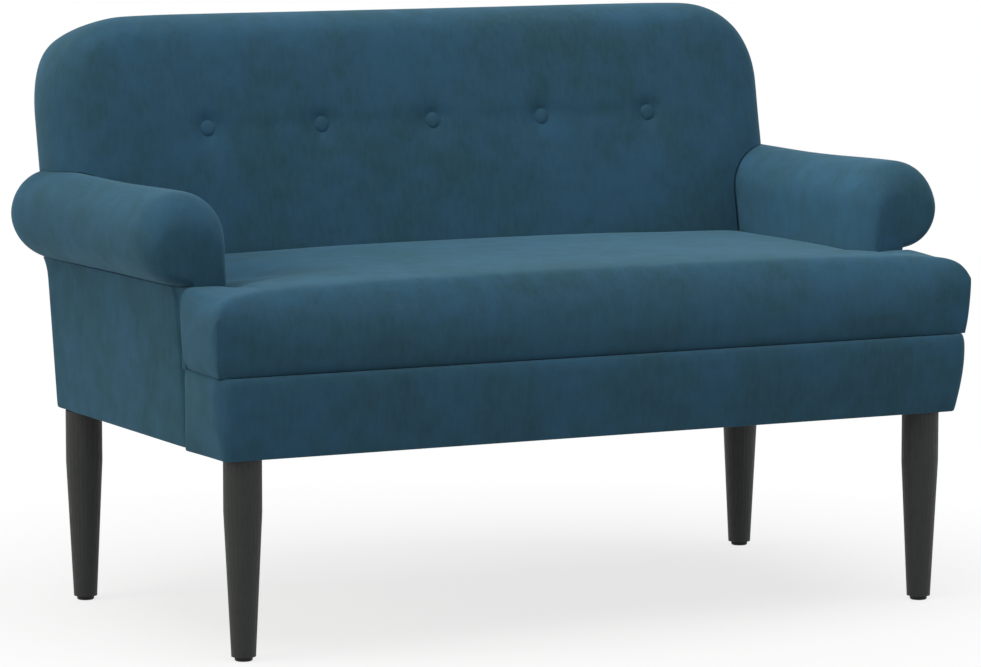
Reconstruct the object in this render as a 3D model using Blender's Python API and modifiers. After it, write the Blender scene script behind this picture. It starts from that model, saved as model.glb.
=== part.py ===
"""Two-seat settee: rolled arms, buttoned back, T-shaped seat and turned legs.

Lengths are metres and +Z is up. The front faces -Y, and left is -X, as seen from the front.
While it is built, y is measured from the front of the base band. At the end the whole
settee is moved so that its origin is on the floor, below the middle of its box.
"""

import math

import bmesh
import bpy
from mathutils import Vector

# Clearance and coverings
GAP = 0.0003
MERGE = 0.00002
COVER = 0.008
PANEL = 0.0055
DUST_CLOTH = 0.001
DECK_CLOTH = 0.002

# Base
FLOOR_TO_BASE = 0.2457
BASE_WIDTH = 1.014
BASE_DEPTH = 0.540
BAND_HEIGHT = 0.100
BAND_SWELL = 0.011
BAND_TURN = math.radians(150)
BAND_STEPS = 4
BAND_CORNER = 0.016
BAND_CORNER_STEPS = 4
EAR_DEPTH = 0.117

# Seat
SEAT_THICKNESS = 0.099
SEAT_CROWN = 0.006
SEAT_BACK_EASE = 0.002
SEAT_SIDE_SWELL = 0.020
SEAT_FRONT_SWELL = 0.012
SEAM_TUCK = 0.013
SEAT_EDGE = 0.042
SEAT_FOAM_EDGE = 0.018
SEAT_FOAM_EASE = 0.004

# Arms
ARM_THICKNESS = 0.0605
ARM_HEIGHT = 0.557
ROLL_RADIUS = 0.0575
ROLL_STEPS = 22
ARM_DOME = 0.022
DOME_STEPS = 3
NOTCH_SHARE = 0.7
ARM_BOARD = 0.018
ARM_RAIL = 0.040
ARM_FOAM_EASE = 0.0015

# Back
RAKE = math.radians(11.5)
BACK_WIDTH = 1.042
BACK_HEIGHT = 0.500
BACK_EDGE = 0.112
BACK_CROWN = 0.022
BACK_CORNER = 0.110
BACK_CORNER_STEPS = 6
BACK_ARM_GAP = 0.0009
BACK_FOAM_EDGE = 0.012
BACK_FOAM_EASE = 0.008
BACK_BOARD = 0.004
BUTTON_COUNT = 5
BUTTON_SPACING = 0.1603
BUTTON_HEIGHT = 0.338
BUTTON_RADIUS = 0.0095
BUTTON_RISE = 0.006
BUTTON_LIFT = 0.004
BUTTON_STEPS = 3
TUFT_DEPTH = 0.010
TUFT_HALF = 0.012
TIE_RADIUS = 0.002
TIE_HOLD = 0.014

# Timber frame
POST = 0.0444
RAIL = 0.025
REAR_RAIL = 0.042
FRAME_DROP = 0.010
STRETCHER = 0.040
BACK_POST_DEPTH = 0.050
BACK_POST_WIDTH = 0.040
BACK_RAIL_HEIGHT = 0.050
BACK_RAIL_DEPTH = 0.028
BACK_MARGIN = 0.014
WOOD_EDGE = 0.002
POST_EDGE = 0.005

# Springs
SPRING_COUNT = 4
SPRING_WIRE = 0.0036
SPRING_SWING = 0.022
SPRING_WAVES = 9
SPRING_EASE = 0.08
STRIP_WIDTH = 0.014
STRIP = 0.002

# Legs and their fixings
LEG_RADIUS = 0.0235
LEG_FOOT_RADIUS = 0.015
LEG_STRAIGHT = 0.065
FRONT_LEG_IN = 0.0028
REAR_LEG_OUT = 0.0070
GLIDE_RADIUS = 0.011
GLIDE_HEIGHT = 0.005
GLIDE_CHAMFER = 0.0012
PIN_RADIUS = 0.002
PIN_LENGTH = 0.012
BOLT_RADIUS = 0.004
BOLT_IN_LEG = 0.030
NUT_RADIUS = 0.006
NUT_LENGTH = 0.020
FLANGE_RADIUS = 0.009
FLANGE = 0.0015
BORE_GAP = 0.0003
ROUND_STEPS = 24
FINE_STEPS = 12
TIE_STEPS = 8
CROWN_POWER = 4
SHARP = math.radians(40)
FLAT = math.radians(1)

# Heights that follow
SEAM = FLOOR_TO_BASE + BAND_HEIGHT
FRAME_BOTTOM = FLOOR_TO_BASE + DUST_CLOTH + GAP
FRAME_TOP = SEAM - FRAME_DROP
SEAT_TOP = SEAM + SEAT_THICKNESS
SPRING_BOTTOM = FRAME_TOP + GAP + STRIP + GAP
DECK_BOTTOM = SPRING_BOTTOM + SPRING_WIRE + GAP
FOAM_BOTTOM = DECK_BOTTOM + DECK_CLOTH + GAP
ROLL_Z = ARM_HEIGHT - ROLL_RADIUS
LEG_TOP = FLOOR_TO_BASE - GAP

# Plan places that follow
BASE_SIDE = BASE_WIDTH / 2
FRAME_SIDE = BASE_SIDE - COVER - GAP
FRAME_FRONT = COVER + GAP
FRAME_REAR = BASE_DEPTH - PANEL / math.cos(RAKE) - GAP
POST_X = FRAME_SIDE - POST / 2
FRONT_LEG_X = POST_X - FRONT_LEG_IN
REAR_LEG_X = POST_X + REAR_LEG_OUT
LEG_FRONT_Y = FRAME_FRONT + POST / 2
LEG_REAR_Y = FRAME_REAR - POST / 2
ARM_INNER = BASE_SIDE - ARM_THICKNESS
ARM_OUTER = BASE_SIDE - PANEL - GAP
ROLL_X = ARM_INNER + ROLL_RADIUS
NOTCH_X = ARM_INNER - GAP
EAR_X = BASE_SIDE + SEAT_SIDE_SWELL
EAR_BACK = EAR_DEPTH - GAP

# Places in the back's own frame: x across, y up along the rake, z forward from the rear face
BACK_SIDE = BACK_WIDTH / 2
BACK_BOTTOM = (BAND_HEIGHT + COVER) / math.cos(RAKE)
BACK_THICKNESS = BACK_EDGE + BACK_CROWN
BACK_FRAME_SIDE = NOTCH_X - COVER - BACK_MARGIN
BACK_FRAME_TOP = BACK_HEIGHT - COVER - BACK_MARGIN
BACK_FRAME_REAR = PANEL + GAP
BACK_FRAME_FRONT = BACK_FRAME_REAR + BACK_POST_DEPTH
BOARD_REAR = BACK_FRAME_FRONT + GAP
BOARD_FRONT = BOARD_REAR + BACK_BOARD
BACK_FOAM_FRONT = BACK_EDGE - COVER - TUFT_DEPTH

SIDES = {"left": -1, "right": 1}


def raked_y(z, depth):
    """Return y at height z on the plane that lies depth in front of the back's rear face."""
    return BASE_DEPTH + math.tan(RAKE) * (z - FLOOR_TO_BASE) - depth / math.cos(RAKE)


def clear_scene():
    """Remove every object of the open scene."""
    for old in list(bpy.data.objects):
        bpy.data.objects.remove(old, do_unlink=True)


def new_collection(name):
    """Add an empty collection to the scene."""
    made = bpy.data.collections.new(name)
    bpy.context.scene.collection.children.link(made)
    return made


def new_empty(name, parent=None):
    """Add a guide empty that pieces can be parented to."""
    made = bpy.data.objects.new(name, None)
    PARTS.objects.link(made)
    made.parent = parent
    return made


def new_material(name, colour, roughness, metallic=0.0):
    """Make a plain Principled material."""
    made = bpy.data.materials.new(name)
    made.use_nodes = True
    shader = made.node_tree.nodes["Principled BSDF"]
    shader.inputs["Base Color"].default_value = (*colour, 1.0)
    shader.inputs["Roughness"].default_value = roughness
    shader.inputs["Metallic"].default_value = metallic
    return made


def add_piece(name, shape, finish, parent=None):
    """Turn a bmesh into a named piece of the settee."""
    mesh = bpy.data.meshes.new(name)
    shape.to_mesh(mesh)
    shape.free()
    mesh.materials.append(finish)
    piece = bpy.data.objects.new(name, mesh)
    PARTS.objects.link(piece)
    piece.parent = parent or ROOT
    return piece


def add_cutter(name, shape, parent=None):
    """Turn a bmesh into a hidden cutting tool."""
    mesh = bpy.data.meshes.new(name)
    shape.to_mesh(mesh)
    shape.free()
    tool = bpy.data.objects.new(name, mesh)
    CUTTERS.objects.link(tool)
    tool.parent = parent or ROOT
    tool.hide_render = True
    tool.display_type = "WIRE"
    return tool


def shade_round(piece):
    """Shade a round piece smooth, with its edges kept sharp."""
    piece.data.shade_smooth()
    piece.data.set_sharp_from_angle(angle=SHARP)


def bevel(piece, width, segments=1):
    """Round the sharp edges of a piece."""
    step = piece.modifiers.new("rounded edges", "BEVEL")
    step.width = width
    step.segments = segments
    step.limit_method = "ANGLE"
    step.angle_limit = SHARP


def subdivide(piece):
    """Smooth a coarse cage once."""
    step = piece.modifiers.new("soft form", "SUBSURF")
    step.levels = 1
    step.render_levels = 1
    step.use_limit_surface = False
    step.boundary_smooth = "PRESERVE_CORNERS"


def thicken(piece, thickness):
    """Give an open surface its thickness, inwards."""
    step = piece.modifiers.new("thickness", "SOLIDIFY")
    step.solidify_mode = "NON_MANIFOLD"
    step.nonmanifold_thickness_mode = "CONSTRAINTS"
    step.thickness = thickness
    step.offset = -1.0


def cut(piece, tool, solver="EXACT"):
    """Take a cutting tool away from a piece."""
    step = piece.modifiers.new("cut by " + tool.name, "BOOLEAN")
    step.operation = "DIFFERENCE"
    step.object = tool
    step.solver = solver


def box_shape(low, high):
    """Return a bmesh box between two corners."""
    low, high = Vector(low), Vector(high)
    shape = bmesh.new()
    bmesh.ops.create_cube(shape, size=1.0)
    bmesh.ops.scale(shape, vec=high - low, verts=shape.verts)
    bmesh.ops.translate(shape, vec=(low + high) / 2, verts=shape.verts)
    return shape


def block(name, low, high, finish, parent=None, edge=WOOD_EDGE):
    """Make a bar or board between two corners, with its edges eased."""
    piece = add_piece(name, box_shape(low, high), finish, parent)
    if edge:
        bevel(piece, edge)
    return piece


def turned_shape(profile, steps, closed=False):
    """Return a bmesh revolved about Z from (radius, height) points, outer side downwards."""
    mesh = bpy.data.meshes.new("profile")
    count = len(profile)
    edges = [(i, i + 1) for i in range(count - 1)]
    if closed:
        edges.append((count - 1, 0))
    mesh.from_pydata([(radius, 0.0, height) for radius, height in profile], edges, [])
    lathe = bpy.data.objects.new("lathe", mesh)
    CUTTERS.objects.link(lathe)
    screw = lathe.modifiers.new("turned", "SCREW")
    screw.axis = "Z"
    screw.steps = steps
    screw.render_steps = steps
    screw.use_merge_vertices = True
    screw.merge_threshold = MERGE
    graph = bpy.context.evaluated_depsgraph_get()
    turned = bpy.data.meshes.new_from_object(lathe.evaluated_get(graph))
    bpy.data.objects.remove(lathe)
    shape = bmesh.new()
    shape.from_mesh(turned)
    return shape


def turned(name, profile, finish, place, steps=ROUND_STEPS, closed=False, parent=None):
    """Make a turned piece standing at a place."""
    piece = add_piece(name, turned_shape(profile, steps, closed), finish, parent)
    piece.location = place
    shade_round(piece)
    return piece


def outlined_shape(points, thickness):
    """Return a bmesh plate in XY from an outline, extruded half its thickness each way."""
    line = bpy.data.curves.new("outline", "CURVE")
    line.dimensions = "2D"
    line.fill_mode = "BOTH"
    line.extrude = thickness / 2
    spline = line.splines.new("POLY")
    spline.points.add(len(points) - 1)
    for target, (across, up) in zip(spline.points, points):
        target.co = (across, up, 0.0, 1.0)
    spline.use_cyclic_u = True
    flat = bpy.data.objects.new("outline", line)
    CUTTERS.objects.link(flat)
    graph = bpy.context.evaluated_depsgraph_get()
    mesh = bpy.data.meshes.new_from_object(flat.evaluated_get(graph))
    bpy.data.objects.remove(flat)
    shape = bmesh.new()
    shape.from_mesh(mesh)
    bmesh.ops.remove_doubles(shape, verts=shape.verts, dist=MERGE)
    bmesh.ops.dissolve_limit(shape, angle_limit=FLAT, verts=shape.verts, edges=shape.edges)
    bmesh.ops.recalc_face_normals(shape, faces=shape.faces)
    return shape


def arc(centre, radius, start, end, steps):
    """Return points on an arc, in degrees, both ends included."""
    points = []
    for i in range(steps + 1):
        angle = math.radians(start + (end - start) * i / steps)
        points.append((centre[0] + radius * math.cos(angle), centre[1] + radius * math.sin(angle)))
    return points


def cage_top(columns, rows, keep, place):
    """Return a bmesh sheet of grid cells, each point put where place(x, y) says."""
    shape = bmesh.new()
    across, along = len(columns) - 1, len(rows) - 1
    bmesh.ops.create_grid(shape, x_segments=across, y_segments=along, size=1.0)
    for vert in shape.verts:
        i = round((vert.co.x + 1) / 2 * across)
        j = round((vert.co.y + 1) / 2 * along)
        vert.co = (columns[i], rows[j], 0.0)
    dropped = [f for f in shape.faces if not keep(*f.calc_center_median().xy)]
    bmesh.ops.delete(shape, geom=dropped, context="FACES")
    for vert in shape.verts:
        vert.co = place(vert.co.x, vert.co.y)
    return shape


def wall_down(shape, edges, levels, place):
    """Extrude rim edges through levels, each point put where place(point, level) says."""
    for level in levels:
        grown = bmesh.ops.extrude_edge_only(shape, edges=edges)["geom"]
        for vert in (g for g in grown if isinstance(g, bmesh.types.BMVert)):
            vert.co = place(vert.co, level)
        edges = [g for g in grown if isinstance(g, bmesh.types.BMEdge) and g.is_boundary]
    bmesh.ops.recalc_face_normals(shape, faces=shape.faces)


def leg_places():
    """Yield the name and place of each leg."""
    for side, sign in SIDES.items():
        yield "front_" + side, (sign * FRONT_LEG_X, LEG_FRONT_Y, 0.0)
        yield "rear_" + side, (sign * REAR_LEG_X, LEG_REAR_Y, 0.0)


def make_legs():
    """Turn the legs, with a bore for the bolt above and for the glide's pin below."""
    bore = BOLT_RADIUS + BORE_GAP
    bore_end = LEG_TOP - BOLT_IN_LEG - GAP
    pin_bore = PIN_RADIUS + BORE_GAP
    foot = GLIDE_HEIGHT + GAP
    pin_end = GLIDE_HEIGHT + PIN_LENGTH + GAP
    leg = [
        (0.0, bore_end),
        (bore, bore_end),
        (bore, LEG_TOP),
        (LEG_RADIUS, LEG_TOP),
        (LEG_RADIUS, LEG_TOP - LEG_STRAIGHT),
        (LEG_FOOT_RADIUS, foot),
        (pin_bore, foot),
        (pin_bore, pin_end),
        (0.0, pin_end),
    ]
    glide = [
        (0.0, GLIDE_HEIGHT + PIN_LENGTH),
        (PIN_RADIUS, GLIDE_HEIGHT + PIN_LENGTH),
        (PIN_RADIUS, GLIDE_HEIGHT),
        (GLIDE_RADIUS, GLIDE_HEIGHT),
        (GLIDE_RADIUS, GLIDE_CHAMFER),
        (GLIDE_RADIUS - GLIDE_CHAMFER, 0.0),
        (0.0, 0.0),
    ]
    nut_bore = BOLT_RADIUS + BORE_GAP
    nut = [
        (NUT_RADIUS, FRAME_BOTTOM + NUT_LENGTH),
        (NUT_RADIUS, FRAME_BOTTOM + FLANGE),
        (FLANGE_RADIUS, FRAME_BOTTOM + FLANGE),
        (FLANGE_RADIUS, FRAME_BOTTOM),
        (nut_bore, FRAME_BOTTOM),
        (nut_bore, FRAME_BOTTOM + NUT_LENGTH),
    ]
    bolt = [
        (0.0, FRAME_BOTTOM + NUT_LENGTH),
        (BOLT_RADIUS, FRAME_BOTTOM + NUT_LENGTH),
        (BOLT_RADIUS, LEG_TOP - BOLT_IN_LEG),
        (0.0, LEG_TOP - BOLT_IN_LEG),
    ]
    for name, place in leg_places():
        turned("leg_" + name, leg, LEG_WOOD, place)
        turned("glide_" + name, glide, BLACK_PLASTIC, place)
        turned("hanger_bolt_" + name, bolt, STEEL, place, FINE_STEPS)
        turned("insert_nut_" + name, nut, STEEL, place, FINE_STEPS, closed=True)


def leg_bore_cutter():
    """Return the stepped bores above the legs as one cutting tool."""
    below = FLOOR_TO_BASE - DUST_CLOTH
    flange_top = FRAME_BOTTOM + FLANGE + GAP
    bore_top = FRAME_BOTTOM + NUT_LENGTH + GAP
    profile = [
        (0.0, bore_top),
        (NUT_RADIUS + BORE_GAP, bore_top),
        (NUT_RADIUS + BORE_GAP, flange_top),
        (FLANGE_RADIUS + BORE_GAP, flange_top),
        (FLANGE_RADIUS + BORE_GAP, below),
        (0.0, below),
    ]
    bores = bmesh.new()
    for _, place in leg_places():
        bore = turned_shape(profile, FINE_STEPS)
        bmesh.ops.translate(bore, vec=place, verts=bore.verts)
        step = bpy.data.meshes.new("bore")
        bore.to_mesh(step)
        bore.free()
        bores.from_mesh(step)
        bpy.data.meshes.remove(step)
    return add_cutter("leg_bores", bores)


def make_seat_frame():
    """Build the base: corner posts, rails, stretcher and dust cover."""
    bores = leg_bore_cutter()
    for name, (x, y, _) in leg_places():
        middle = math.copysign(POST_X, x)
        low = (middle - POST / 2, y - POST / 2, FRAME_BOTTOM)
        high = (middle + POST / 2, y + POST / 2, FRAME_TOP)
        cut(block("corner_post_" + name, low, high, FRAME_WOOD, edge=POST_EDGE), bores)
    reach = POST_X - POST / 2 - GAP
    front_inside = FRAME_FRONT + RAIL
    rear_inside = FRAME_REAR - REAR_RAIL
    block("front_rail", (-reach, FRAME_FRONT, FRAME_BOTTOM), (reach, front_inside, FRAME_TOP), FRAME_WOOD)
    block("rear_rail", (-reach, rear_inside, FRAME_BOTTOM), (reach, FRAME_REAR, FRAME_TOP), FRAME_WOOD)
    side_front = LEG_FRONT_Y + POST / 2 + GAP
    side_rear = LEG_REAR_Y - POST / 2 - GAP
    for side, sign in SIDES.items():
        near, far = sorted((sign * (FRAME_SIDE - RAIL), sign * FRAME_SIDE))
        block(
            "side_rail_" + side,
            (near, side_front, FRAME_BOTTOM),
            (far, side_rear, FRAME_TOP),
            FRAME_WOOD,
        )
    block(
        "centre_stretcher",
        (-STRETCHER / 2, front_inside + GAP, FRAME_BOTTOM),
        (STRETCHER / 2, rear_inside - GAP, FRAME_BOTTOM + STRETCHER),
        FRAME_WOOD,
    )
    dust = block(
        "dust_cover",
        (-FRAME_SIDE, FRAME_FRONT, FLOOR_TO_BASE),
        (FRAME_SIDE, FRAME_REAR, FLOOR_TO_BASE + DUST_CLOTH),
        DUST_FABRIC,
        edge=0.0,
    )
    cut(dust, bores)


def make_springs():
    """Lay the sinuous springs between two strips, and the deck cloth over them."""
    span = BACK_FRAME_SIDE - BACK_POST_WIDTH - GAP
    front = FRAME_FRONT + RAIL - STRIP_WIDTH
    rear = FRAME_REAR - REAR_RAIL
    for name, start in (("front", front), ("rear", rear)):
        block(
            "spring_strip_" + name,
            (-span, start, FRAME_TOP + GAP),
            (span, start + STRIP_WIDTH, FRAME_TOP + GAP + STRIP),
            STEEL,
            edge=0.0,
        )
    spacing = 2 * span / SPRING_COUNT
    first, last = front + STRIP_WIDTH / 4, rear + STRIP_WIDTH * 3 / 4
    wave = (last - first) / SPRING_WAVES
    height = SPRING_BOTTOM + SPRING_WIRE / 2
    for number in range(SPRING_COUNT):
        middle = spacing * (number - (SPRING_COUNT - 1) / 2)
        path = []
        for half in range(2 * SPRING_WAVES):
            swing = SPRING_SWING * (1 if half % 2 else -1)
            for share in (half / 2 + SPRING_EASE, (half + 1) / 2 - SPRING_EASE):
                path.append((middle + swing, first + wave * share, height))
        wire = bpy.data.curves.new("seat_spring", "CURVE")
        wire.dimensions = "3D"
        wire.bevel_depth = SPRING_WIRE / 2
        wire.bevel_resolution = 0
        wire.use_fill_caps = True
        spline = wire.splines.new("POLY")
        spline.points.add(len(path) - 1)
        for target, place in zip(spline.points, path):
            target.co = (*place, 1.0)
        wire.materials.append(STEEL)
        spring = bpy.data.objects.new(f"seat_spring_{number + 1}", wire)
        PARTS.objects.link(spring)
        spring.parent = ROOT
    deck_rear = raked_y(DECK_BOTTOM, BACK_THICKNESS)
    block(
        "seat_deck",
        (-ARM_INNER, FRAME_FRONT, DECK_BOTTOM),
        (ARM_INNER, deck_rear, DECK_BOTTOM + DECK_CLOTH),
        DECK_FABRIC,
        edge=0.0,
    )


def seat_plan(inset):
    """Return the T-shaped seat's outline at the seam, drawn in by inset from its swell."""
    wide, narrow = EAR_X - inset, NOTCH_X - inset
    front, ear = inset - SEAT_FRONT_SWELL, EAR_BACK - inset
    rear = raked_y(SEAM, BACK_THICKNESS + SEAT_BACK_EASE) + SEAM_TUCK - inset
    half = [(wide, front), (wide, ear), (narrow, ear), (narrow, rear)]
    return half + [(-x, y) for x, y in reversed(half)]


def seat_cover_shape():
    """Return the seat cover's cage: a crowned T whose sides swell above the seam, open below."""
    front = -SEAT_FRONT_SWELL
    rear = raked_y(SEAT_TOP, BACK_THICKNESS + SEAT_BACK_EASE)
    near = GAP / 3
    beside_arm = NOTCH_X + ARM_DOME * NOTCH_SHARE
    half_columns = [NOTCH_X / 2, NOTCH_X - SEAT_EDGE, NOTCH_X, beside_arm, EAR_X - SEAT_EDGE, EAR_X]
    columns = [-x for x in reversed(half_columns)] + [0.0] + half_columns
    middle = (EAR_BACK + rear) / 2
    rows = [front, front + SEAT_EDGE, EAR_BACK - SEAT_EDGE, EAR_BACK]
    rows += [EAR_BACK + ARM_DOME * NOTCH_SHARE, middle, rear - SEAT_EDGE, rear]

    def inside(x, y):
        return abs(x) < NOTCH_X or y < EAR_BACK

    def against_back(x, z):
        return raked_y(z, back_crown(x, BACK_BOTTOM) + SEAT_BACK_EASE)

    def crowned(x, y):
        across = 1 - (x / EAR_X) ** CROWN_POWER
        along = 1 - ((rear - y) / (rear - front)) ** CROWN_POWER
        z = SEAT_TOP + SEAT_CROWN * across * along
        if abs(y - rear) < near:
            y = against_back(x, z)
        return (x, y, z)

    def drawn_in(point, level):
        height, inset = level
        x, y = point.x, point.y
        toward_middle = -math.copysign(inset, x)
        if abs(abs(x) - EAR_X) < near or (abs(abs(x) - NOTCH_X) < near and y > EAR_BACK - near):
            x += toward_middle
        if abs(point.y - front) < near:
            y += inset
        elif abs(point.y - EAR_BACK) < near:
            y -= inset
        elif abs(point.y - against_back(point.x, point.z)) < near:
            y = against_back(point.x, height)
        return (x, y, height)

    shape = cage_top(columns, rows, inside, crowned)
    rim = [edge for edge in shape.edges if edge.is_boundary]
    wall_down(shape, rim, [((SEAM + SEAT_TOP) / 2, 0.0), (SEAM, SEAM_TUCK)], drawn_in)
    return shape


def base_band_shape():
    """Return the base band's surface: along the front and round both ears, swelling a little."""
    path = [((BASE_SIDE, EAR_BACK), (1.0, 0.0))]
    corner = (BASE_SIDE - BAND_CORNER, BAND_CORNER)
    for x, y in arc(corner, BAND_CORNER, 0, -90, BAND_CORNER_STEPS):
        path.append(((x, y), ((x - corner[0]) / BAND_CORNER, (y - corner[1]) / BAND_CORNER)))
    path = [((-x, y), (-nx, ny)) for (x, y), (nx, ny) in path] + path[::-1]
    height = BAND_HEIGHT - GAP

    def place(i, j):
        (x, y), (nx, ny) = path[round(i)]
        share = j / BAND_STEPS
        out = BAND_SWELL * math.sin(BAND_TURN * share)
        end = 0.0 if round(i) in (0, len(path) - 1) else ny * out
        return (x + nx * out, y + end, FLOOR_TO_BASE + share * height)

    return cage_top(range(len(path)), range(BAND_STEPS + 1), lambda i, j: True, place)


def make_seat():
    """Build the seat's foam, its cover and the base band below the seam."""
    foam_top = SEAT_TOP - COVER - SEAT_FOAM_EASE
    foam_shape = outlined_shape(seat_plan(SEAM_TUCK + COVER + 2 * GAP), foam_top - FOAM_BOTTOM)
    foam = add_piece("seat_foam", foam_shape, FOAM)
    foam.location.z = (FOAM_BOTTOM + foam_top) / 2
    bevel(foam, SEAT_FOAM_EDGE, 2)
    cover = add_piece("seat_cover", seat_cover_shape(), VELVET)
    subdivide(cover)
    thicken(cover, COVER)
    shade_round(cover)
    band = add_piece("base_band", base_band_shape(), VELVET)
    thicken(band, COVER)
    shade_round(band)


def arm_outline(grow, bottom):
    """Return the arm's keyhole section as (x, z) points, grown outwards by grow."""
    radius = ROLL_RADIUS + grow
    outer = ARM_OUTER + grow
    end = -math.degrees(math.acos((outer - ROLL_X) / radius))
    roll = arc((ROLL_X, ROLL_Z), radius, 180, end, ROLL_STEPS)
    return [(ARM_INNER - grow, bottom)] + roll + [(outer, bottom)]


def arm_shape(sign, grow, rear_depth, bottom=SEAM):
    """Return an arm: the keyhole run forward from the raked rear to a domed front."""
    shape = bmesh.new()
    corners = [(sign * x, raked_y(z, rear_depth), z) for x, z in arm_outline(grow, bottom)]
    rear = shape.faces.new([shape.verts.new(corner) for corner in corners])
    grown = bmesh.ops.extrude_face_region(shape, geom=[rear])["geom"]
    front = next(g for g in grown if isinstance(g, bmesh.types.BMFace))
    for vert in front.verts:
        vert.co.y = EAR_DEPTH + ARM_DOME
    bmesh.ops.holes_fill(shape, edges=shape.edges[:], sides=0)
    bmesh.ops.recalc_face_normals(shape, faces=shape.faces[:])
    dome = ARM_DOME + grow
    inset = ahead = 0.0
    for step in range(1, DOME_STEPS + 1):
        angle = math.pi / 2 * step / DOME_STEPS
        next_inset, next_ahead = dome * (1 - math.cos(angle)), dome * math.sin(angle)
        bmesh.ops.inset_individual(
            shape,
            faces=[front],
            thickness=next_inset - inset,
            depth=next_ahead - ahead,
            use_even_offset=True,
        )
        inset, ahead = next_inset, next_ahead
    return shape


def make_arm(side, sign):
    """Build one arm: side board, roll core, foam, cover and outer panel."""
    rear_depth = PANEL + GAP
    inner_depth = rear_depth + COVER + GAP
    core_front = EAR_DEPTH + ARM_DOME + COVER + GAP
    core_low, core_high = ROLL_Z - ARM_RAIL / 2, ROLL_Z + ARM_RAIL / 2
    core_rear = raked_y(core_low, inner_depth)
    board_outer = ARM_OUTER - COVER - GAP
    board_inner = board_outer - ARM_BOARD
    board_rear = raked_y(FRAME_TOP, inner_depth)

    def mirrored(low, high):
        x0, x1 = sorted((sign * low[0], sign * high[0]))
        return (x0, *low[1:]), (x1, *high[1:])

    block(
        "arm_board_" + side,
        *mirrored(
            (board_inner, core_front, FRAME_TOP + GAP),
            (board_outer, board_rear, core_low - GAP),
        ),
        PLYWOOD,
    )
    block(
        "arm_rail_" + side,
        *mirrored(
            (ROLL_X - ARM_RAIL / 2, core_front, core_low),
            (ROLL_X + ARM_RAIL / 2, core_rear, core_high),
        ),
        FRAME_WOOD,
    )
    beyond = BASE_DEPTH + BACK_HEIGHT
    board_pocket = mirrored(
        (board_inner - GAP, core_front - GAP, FLOOR_TO_BASE),
        (ARM_OUTER, beyond, ROLL_Z),
    )
    rail_pocket = mirrored(
        (ROLL_X - ARM_RAIL / 2 - GAP, core_front - 2 * GAP, core_low - GAP),
        (ROLL_X + ARM_RAIL / 2 + GAP, beyond, core_high + GAP),
    )
    foam = add_piece("arm_foam_" + side, arm_shape(sign, -COVER - ARM_FOAM_EASE, inner_depth), FOAM)
    cut(foam, add_cutter("arm_board_pocket_" + side, box_shape(*board_pocket)))
    cut(foam, add_cutter("arm_rail_pocket_" + side, box_shape(*rail_pocket)))
    cover = add_piece("arm_cover_" + side, arm_shape(sign, 0.0, rear_depth), VELVET)
    inside = arm_shape(sign, -COVER, rear_depth + COVER, FLOOR_TO_BASE)
    cut(cover, add_cutter("arm_inside_" + side, inside))
    shade_round(cover)
    panel_front, panel_top = EAR_DEPTH + GAP, ROLL_Z - ROLL_RADIUS - GAP
    panel_outline = [
        (panel_front, FLOOR_TO_BASE),
        (raked_y(FLOOR_TO_BASE, 0.0), FLOOR_TO_BASE),
        (raked_y(panel_top, 0.0), panel_top),
        (panel_front, panel_top),
    ]
    panel = add_piece("outer_arm_panel_" + side, outlined_shape(panel_outline, PANEL), VELVET)
    panel.rotation_euler = (math.pi / 2, 0.0, math.pi / 2)
    panel.location.x = sign * (BASE_SIDE - PANEL / 2)
    bevel(panel, WOOD_EDGE)


def arm_space_cutter(side, sign):
    """Return the space that an arm takes out of the back."""
    radius = ROLL_RADIUS + BACK_ARM_GAP
    over = arc((ROLL_X, ROLL_Z), radius, 180, 0, ROLL_STEPS)
    far = ROLL_X + 2 * ROLL_RADIUS
    low = FLOOR_TO_BASE
    outline = [(ROLL_X - radius, low)] + over + [(far, ROLL_Z), (far, low)]
    shape = outlined_shape([(sign * x, z) for x, z in outline], 2 * BASE_DEPTH)
    tool = add_cutter("arm_space_" + side, shape)
    tool.rotation_euler.x = math.pi / 2
    tool.location.y = BASE_DEPTH
    return tool


def button_places():
    """Yield each button's number and its place across the back."""
    for number in range(BUTTON_COUNT):
        yield number + 1, BUTTON_SPACING * (number - (BUTTON_COUNT - 1) / 2)


def back_crown(x, y):
    """Return how far forward the back's padding stands, without its tufts: full down to the seat."""
    middle, half = (BACK_HEIGHT + BACK_BOTTOM) / 2, (BACK_HEIGHT - BACK_BOTTOM) / 2
    across = 1 - (x / BACK_SIDE) ** CROWN_POWER
    along = 1 - (max(y - middle, 0.0) / half) ** CROWN_POWER
    return BACK_EDGE + BACK_CROWN * across * along


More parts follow.
